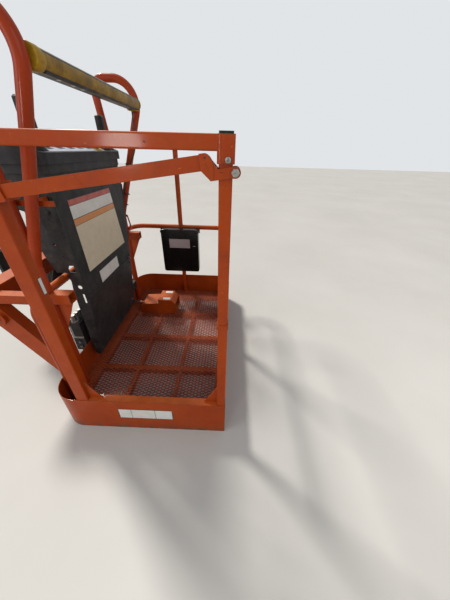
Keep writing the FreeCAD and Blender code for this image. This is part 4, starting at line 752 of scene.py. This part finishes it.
def make_ties():
    bm = bmesh.new()
    tilt = math.radians(19.1)
    way = Vector((math.sin(tilt), 0.0, math.cos(tilt)))
    side = Vector((math.cos(tilt), 0.0, -math.sin(tilt)))
    for z in (1.005, 0.845, 0.780):
        middle = Vector((leg_x(z), 0.44, z))
        points = []
        for k in range(36):
            a = 2 * math.pi * k / 36
            reach = 0.0203
            across = reach * math.sin(a)
            out = reach * math.cos(a)
            if math.sin(a) < 0:
                across -= 0.0072 * max(0.0, -math.sin(a)) ** 0.6 if abs(math.cos(a)) < 0.75 else 0.0
            points.append(middle + side * out + Vector((0, across, 0)))
        rows = []
        for p in points:
            outward = (p - middle).normalized()
            rows.append([bm.verts.new(p + way * 0.0024), bm.verts.new(p + way * 0.0024 + outward * 0.0015),
                         bm.verts.new(p - way * 0.0024 + outward * 0.0015), bm.verts.new(p - way * 0.0024)])
        for i in range(36):
            a, b = rows[i], rows[(i + 1) % 36]
            for n in range(4):
                bm.faces.new((a[n], a[(n + 1) % 4], b[(n + 1) % 4], b[n]))
        head = middle + side * 0.0222
        add_box(bm, frame_at(head, side, (0, 1, 0)), (0.005, 0.0055, 0.005), 0, 0.0008)
        tail = head + Vector((0.006, -0.006, 0.0))
        add_box(bm, frame_at(tail, (0.7, -0.7, 0.1), (0.7, 0.7, 0)), (0.016, 0.0012, 0.0026), 0)
    ties = from_bmesh("cable_ties", bm, BLACK)


def add_hex_bolt(bm, place, way, across, thick, washer=True):
    other = Vector(way).orthogonal()
    at = frame_at(place, other, Vector(way).cross(other))
    lift = 0.0
    if washer:
        add_disc(bm, at, across * 0.62, 0.0016, 24)
        lift = 0.0016
    add_disc(bm, at @ Matrix.Translation((0, 0, lift)), across * 0.55, thick * 0.8, 6)
    add_disc(bm, at @ Matrix.Translation((0, 0, lift + thick * 0.8)), across * 0.40, thick * 0.2, 24, dome=thick * 0.1)


def make_document_lid():
    """Moulded lid with drawn-down ends and a rounded front edge, hollow below."""
    low, high = box_of("document_lid")
    edge, rear = 0.005, 0.5647
    wall, hollow, drop, run = 0.003, 0.015, 0.015, 0.042
    rise = high.z - low.z
    count = 12

    def section(inset):
        """Columns: X and the crown's height there."""
        left, right = low.x + edge + inset, high.x - edge - inset
        points = [(left, 0.0)]
        for k in range(count + 1):
            a = math.pi / 2 * k / count
            points.append((left + run * (1 - math.cos(a)), rise - drop + drop * math.sin(a) - inset))
        return points + [(left + right - x, z) for x, z in reversed(points)]

    bm = bmesh.new()
    # Columns: inset from the outer form, Y
    stations = ((0.0035, low.y), (0.0010, low.y + 0.0013), (0.0, low.y + 0.0045), (0.0, rear))
    rows = []
    for inset, y in stations:
        rows.append([bm.verts.new((x, y, low.z + z)) for x, z in section(inset)])
    inner = low.x + edge + wall
    for y in (rear, low.y + wall):
        rows.append([bm.verts.new((min(max(x, inner), -inner), y, low.z + min(z, hollow)))
                     for x, z in section(0.0)])
    for a, b in zip(rows, rows[1:]):
        for k in range(len(a) - 1):
            bm.faces.new((a[k], a[k + 1], b[k + 1], b[k]))
    bm.faces.new(rows[0])
    bm.faces.new(rows[-1])
    for end in (0, -1):
        bm.faces.new([row[end] for row in rows])
    bm.faces.new((rows[0][0], rows[0][-1], rows[-1][-1], rows[-1][0]))
    # Hinge pins and eyes on both ends
    for x, side in ((low.x, 1), (high.x, -1)):
        turn = frame_at((x, 0.5637, 0.588), (0, side, 0), (0, 0, 1))
        add_disc(bm, turn, 0.003, 0.008, 20)
        add_disc(bm, turn @ Matrix.Translation((0, 0, edge)), 0.006, 0.003, 24)
    lid = from_bmesh("document_lid_shell", bm, GLOSS_BLACK, body="document_box_lid")
    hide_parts("document_lid")


def make_fasteners():
    bm = bmesh.new()
    # Button head on the rail's sleeve; its socket is a darker hexagon on the head, painted shade in place of the
    # recess.
    at = frame_at((0.366, -0.6122, 1.079), (1, 0, 0), (0, 0, 1))
    add_disc(bm, at, 0.0072, 0.0045, 28, dome=0.003)
    add_disc(bm, at @ Matrix.Translation((0, 0, 0.0042)), 0.0034, 0.0006, 6, 1)
    # Bolts through the hoop tabs: X, Y, way
    for x, y, way in ((-0.332, -0.3767, 1), (-0.240, -0.3767, 1), (-0.332, 0.4167, -1), (-0.240, 0.4167, -1)):
        add_hex_bolt(bm, (x, y, 0.930), (0, way, 0), 0.013, 0.006)
    # Bolts of the anchor eyes on the braces
    low, high = box_of("anchor_points")
    for y, way in ((low.y, -1), (high.y, 1)):
        add_hex_bolt(bm, (-0.593, y, 0.470), (0, way, 0), 0.022, 0.009)
    # Bolts of the rotator plate: Y, Z
    plate_low, plate_high = box_of("rotator_plate")
    for y in (-0.072, 0.112):
        for z in (plate_low.z + 0.022, plate_low.z + 0.090, plate_high.z - 0.022):
            add_hex_bolt(bm, (plate_low.x + 0.078, y, z), (-1, 0, 0), 0.017, 0.009)
    # Ring fitting, coil band and plugs on the valve block
    add_disc(bm, Matrix.Translation((-0.410, -0.2540, 0.330)), 0.0195, 0.010, 32, 0, dome=0.003)
    add_box(bm, Matrix.Translation((-0.410, -0.2755, 0.238)), (0.058, 0.0015, 0.012), 0, 0.0006)
    add_box(bm, Matrix.Translation((-0.433, -0.2755, 0.277)), (0.012, 0.0015, 0.066), 0, 0.0006)
    for z in (0.175, 0.205):
        add_disc(bm, frame_at((-0.410, -0.275, z), (1, 0, 0), (0, 0, 1)), 0.008, 0.005, 6, 1)
    hardware = from_bmesh("frame_bolts", bm, [ZINC, DARK_BOLT])
    bm = bmesh.new()
    low, high = box_of("rotator_body")
    for z, way in ((low.z, -1), (high.z, 1)):
        for k in range(6):
            a = math.radians(60 * k)
            place = (-0.752 + 0.020 * math.cos(a), 0.02 + 0.020 * math.sin(a), z)
            add_hex_bolt(bm, place, (0, 0, way), 0.008, 0.004, False)
    caps = from_bmesh("rotator_bolts", bm, ZINC)


def add_plate(bm, outline, y, thick, chamfer=0.0, index=0, hole=()):
    """Plate across Y from its (x, z) outline, with its front at y and a hole if given."""
    loops = [[bm.verts.new((x, depth, z)) for x, z in points] for depth in (y, y + thick) for points in
             ((outline, hole) if hole else (outline,))]
    made = []
    pairs = ((loops[0], loops[2]), (loops[1], loops[3])) if hole else ((loops[0], loops[1]),)
    for front, rear in pairs:
        count = len(front)
        for k in range(count):
            n = (k + 1) % count
            made.append(bm.faces.new((front[k], front[n], rear[n], rear[k])))
    if hole:
        for outer, inner in ((loops[0], loops[1]), (loops[2], loops[3])):
            count = len(outer)
            for k in range(count):
                n = (k + 1) % count
                made.append(bm.faces.new((outer[k], outer[n], inner[n], inner[k])))
    else:
        made.append(bm.faces.new(loops[0]))
        made.append(bm.faces.new(loops[1]))
    for face in made:
        face.material_index = index
    if chamfer:
        rim = [bm.edges.get((loops[0][k], loops[0][(k + 1) % len(loops[0])])) for k in range(len(loops[0]))]
        bmesh.ops.bevel(bm, geom=rim, offset=chamfer, segments=2, profile=0.6, affect="EDGES")


def make_pressings():
    # Pressed fold on the bracket of the sliding bar, with its small hole and a slot drawn as thin black discs, which
    # are painted shade.
    bm = bmesh.new()
    fold = [(0.3120, 1.0835), (0.3125, 1.0870), (0.3165, 1.0905), (0.3215, 1.0895), (0.3270, 1.0835), (0.3330, 1.0730),
            (0.3345, 1.0640), (0.3345, 1.0410), (0.3310, 1.0380), (0.3290, 1.0400), (0.3225, 1.0620), (0.3190, 1.0720)]
    add_plate(bm, fold, -0.6137, 0.0014, 0.0008)
    for x, z, radius in ((0.3150, 1.0825, 0.0022), (0.3490, 1.0545, 0.0012), (0.3540, 1.0548, 0.0012)):
        front = -0.6137 if x < 0.33 else -0.6125
        add_disc(bm, frame_at((x, front, z), (1, 0, 0), (0, 0, 1)), radius, 0.0002, 16, 1)
    pressing = from_bmesh("bracket_fold", bm, [ORANGE, BLACK_STEEL], body="entry_bar_assembly")
    # Raised front of the sleeve; the hole in the rail beside it is a thin black disc, painted shade.
    bm = bmesh.new()
    sleeve = [(0.3525, 1.0725), (0.3800, 1.0725), (0.3805, 1.0760), (0.3805, 1.1255), (0.3525, 1.1255)]
    add_plate(bm, sleeve, -0.6122, 0.0014, 0.0009)
    add_disc(bm, frame_at((0.185, -0.607, 1.109), (1, 0, 0), (0, 0, 1)), 0.0022, 0.0002, 16, 1)
    # Lug with a three-cornered hole on the far hoop's leg
    outline = [(-0.343, 0.712), (-0.326, 0.708), (-0.314, 0.640), (-0.322, 0.612), (-0.343, 0.606)]
    hole = [(-0.338, 0.697), (-0.331, 0.695), (-0.3225, 0.643), (-0.328, 0.627), (-0.338, 0.622)]
    add_plate(bm, outline, 0.4375, 0.005, 0.0, 2, hole)
    plates = from_bmesh("pressed_plates", bm, [ORANGE, BLACK_STEEL, HOOP])


def ring_points(centre, axis, radius, count, start=0.0, sweep=360.0):
    """Points round an axis."""
    axis = Vector(axis).normalized()
    side = axis.orthogonal().normalized()
    other = axis.cross(side)
    out = []
    for k in range(count):
        a = math.radians(start + sweep * k / (count if sweep == 360.0 else count - 1))
        out.append(Vector(centre) + side * (radius * math.cos(a)) + other * (radius * math.sin(a)))
    return out


def line_points(a, b, step=0.003):
    a, b = Vector(a), Vector(b)
    count = max(2, int((b - a).length / step))
    return [a.lerp(b, k / count) for k in range(count + 1)]


def make_welds():
    bm = bmesh.new()
    # Round tube ends on the mesh: X, Y, radius
    for x, y, r in ((0.0, 0.591, 0.016), (0.361, 0.0, 0.016), (-0.358, -0.4, 0.019), (-0.358, 0.44, 0.019),
                    (-0.361, -0.49, 0.016)):
        add_bead(bm, ring_points((x, y, 0.0385), (0, 0, 1), r + 0.0008, 60), 0.0028, True)
    # Rails into the entry posts and sleeve: X, Y, Z
    for x, y, z in ((0.361, -0.575, 0.596), (0.361, -0.571, 1.111)):
        add_bead(bm, ring_points((x, y + 0.0008, z), (0, 1, 0), 0.0168, 48), 0.0026, True)
    add_bead(bm, ring_points((-0.2525, -0.591, 1.111), (1, 0, 0), 0.0168, 48), 0.0026, True)
    # Foot of each entry post on the step, and the posts' gussets
    for x0, x1, y, z in ((-0.252, -0.202, -0.569, 0.0385), (0.345, 0.377, -0.575, 0.0385)):
        add_bead(bm, line_points((x0, y, z), (x1, y, z)), 0.0026)
    for x, y0, y1, z in ((-0.202, -0.591, -0.587, 0.188), (0.345, -0.591, -0.587, 0.188)):
        way = 1 if x < 0 else -1
        for y in (y0, y1):
            add_bead(bm, line_points((x + way * 0.001, y, z), (x + way * 0.056, y, z)), 0.0016)
            add_bead(bm, line_points((x + way * 0.001, y, z), (x + way * 0.001, y, z + 0.090)), 0.0016)
    # Fixed rail on the left post
    for y in (-0.607, -0.575):
        add_bead(bm, line_points((-0.2025, y, 1.097), (-0.2025, y, 1.125)), 0.0020)
    add_bead(bm, line_points((-0.2025, -0.604, 1.1272), (-0.2025, -0.578, 1.1272)), 0.0020)
    # Stiles into the rails
    for x, y, ax in ((0.0, 0.591, (1, 0, 0)), (0.361, 0.0, (0, 1, 0))):
        for z in (0.5795, 0.6125, 1.0945):
            add_bead(bm, ring_points((x, y, z), (0, 0, 1), 0.0158, 44), 0.0022, True)
    # Braces on the toe board and the cross tube between them: Y of the brace's middle
    for y in (-0.4, 0.44):
        for side in (-0.025, 0.025):
            add_bead(bm, line_points((-0.3805, y + side, 0.024), (-0.3805, y + side, 0.184)), 0.0026)
        inner = y + (0.0255 if y < 0 else -0.0255)
        add_bead(bm, line_points((-0.656, inner, 0.524), (-0.656, inner, 0.596)), 0.0026)
        add_bead(bm, line_points((-0.584, inner, 0.524), (-0.584, inner, 0.596)), 0.0026)
    for vert in bm.verts:
        vert.co.y = max(-0.6095, min(0.6095, vert.co.y))
    beads = from_bmesh("weld_beads", bm, ORANGE, smooth=True)


def make_pedal_tread():
    bm = bmesh.new()
    a, b = Vector((-0.134, 0.315, 0.063)), Vector((-0.027, 0.315, 0.077))
    m = frame_at(a, b - a, (0, 1, 0))
    length = (b - a).length
    for k in range(9):
        at = m @ Matrix.Translation((0.012 + k * (length - 0.020) / 8, 0.0, 0.0010))
        add_box(bm, at, (0.0045, 0.108, 0.003), 0, 0.0008)
    tread = from_bmesh("pedal_tread", bm, BLACK)
    bm = bmesh.new()
    # Screws on the foot switch: X, Y, Z
    for x, y in ((-0.128, 0.255), (-0.128, 0.375), (-0.052, 0.255), (-0.052, 0.375)):
        at = Matrix.Translation((x, y, 0.155))
        add_disc(bm, at, 0.0045, 0.0022, 20, dome=0.0014)
    for x, y in ((-0.240, 0.262), (-0.240, 0.368), (-0.150, 0.262), (-0.150, 0.368)):
        rise = 0.115 + 0.008 * (x + 0.255) / 0.118
        add_disc(bm, Matrix.Translation((x, y, rise - 0.0004)), 0.0045, 0.0026, 20, dome=0.0014)
    add_disc(bm, frame_at((-0.299, 0.315, 0.085), (0, 1, 0), (0, 0, -1)), 0.0105, -0.009, 6)
    screws = from_bmesh("foot_switch_screws", bm, ZINC)


make_films()
make_console_panel()
make_console_trim()
make_sensor_trim()
make_ties()
make_document_lid()
make_fasteners()
make_pressings()
make_welds()
make_pedal_tread()


# Stage, lights and camera

def make_stage():
    bm = bmesh.new()
    add_box(bm, Matrix.Translation((0.0, 0.0, -0.0512)), (40.0, 40.0, 0.1))
    mesh = bpy.data.meshes.new("ground")
    bm.to_mesh(mesh)
    bm.free()
    ground = bpy.data.objects.new("ground", mesh)
    bpy.context.collection.objects.link(ground)
    g = Graph("ground_finish")
    color = g.mix(g.ramp(g.noise(0.9, 5.0), 0.3, 0.7), (0.475, 0.465, 0.440), (0.525, 0.515, 0.490))
    g.finish(color, 0.85, specular=0.2)
    mesh.materials.append(g.mat)

    world = bpy.data.worlds.new("studio")
    bpy.context.scene.world = world
    world.use_nodes = True
    tree = world.node_tree
    background = tree.nodes["Background"]
    background.inputs["Strength"].default_value = 1.0
    path = tree.nodes.new("ShaderNodeLightPath")
    total = tree.nodes.new("ShaderNodeMath")
    total.operation = "MAXIMUM"
    tree.links.new(path.outputs["Is Camera Ray"], total.inputs[0])
    tree.links.new(path.outputs["Is Glossy Ray"], total.inputs[1])
    more = tree.nodes.new("ShaderNodeMath")
    more.operation = "MAXIMUM"
    tree.links.new(total.outputs[0], more.inputs[0])
    tree.links.new(path.outputs["Is Transmission Ray"], more.inputs[1])
    mix = tree.nodes.new("ShaderNodeMix")
    mix.data_type = "RGBA"
    mix.inputs["A"].default_value = (0.36, 0.37, 0.39, 1.0)
    mix.inputs["B"].default_value = (0.76, 0.78, 0.80, 1.0)
    tree.links.new(more.outputs[0], mix.inputs["Factor"])
    tree.links.new(mix.outputs["Result"], background.inputs["Color"])

    # Columns: name, place, aim, size, power, colour
    for name, place, aim, size, power, color in (
        ("fill", (3.6, -3.2, 3.0), (0.0, 0.0, 0.5), 3.2, 50.0, (1.0, 0.99, 0.97)),
        ("front", (-1.13, -3.8, 1.14), (0.0, -0.6, 1.0), 0.5, 22.0, (1.0, 0.98, 0.94)),
        ("back", (-3.4, -2.6, 2.6), (0.0, 0.0, 0.6), 2.6, 55.0, (1.0, 0.98, 0.95)),
    ):
        light = bpy.data.lights.new(name, "AREA")
        light.shape = "DISK"
        light.size = size
        light.energy = power
        light.color = color
        obj = bpy.data.objects.new(name, light)
        bpy.context.collection.objects.link(obj)
        way = Vector(aim) - Vector(place)
        obj.matrix_world = Matrix.Translation(place) @ way.to_track_quat("-Z", "Y").to_matrix().to_4x4()
    key = bpy.data.lights.new("key", "SUN")
    key.energy = 3.7
    key.angle = math.radians(10.0)
    key.color = (1.0, 0.96, 0.90)
    obj = bpy.data.objects.new("key", key)
    bpy.context.collection.objects.link(obj)
    obj.matrix_world = Vector((2.6, -2.4, -3.9)).to_track_quat("-Z", "Y").to_matrix().to_4x4()


def make_camera():
    pitch, yaw, roll = 0.5658, 0.0150, -0.0267
    forward = Vector((-math.sin(yaw) * math.cos(pitch), math.cos(yaw) * math.cos(pitch), -math.sin(pitch)))
    right = Vector((math.cos(yaw), math.sin(yaw), 0.0))
    down = forward.cross(right)
    right2 = math.cos(roll) * right + math.sin(roll) * down
    down2 = -math.sin(roll) * right + math.cos(roll) * down
    camera = bpy.data.cameras.new("camera")
    camera.sensor_fit = "HORIZONTAL"
    camera.sensor_width = 36.0
    camera.lens = 19.004
    camera.clip_start = 0.02
    camera.clip_end = 100.0
    obj = bpy.data.objects.new("camera", camera)
    bpy.context.collection.objects.link(obj)
    axes = Matrix((right2, -down2, -forward)).transposed().to_4x4()
    obj.matrix_world = Matrix.Translation((0.3763, -1.2120, 1.0994)) @ axes
    bpy.context.scene.camera = obj


make_stage()
make_camera()
bpy.context.scene.view_settings.view_transform = "Standard"

bpy.context.view_layer.update()
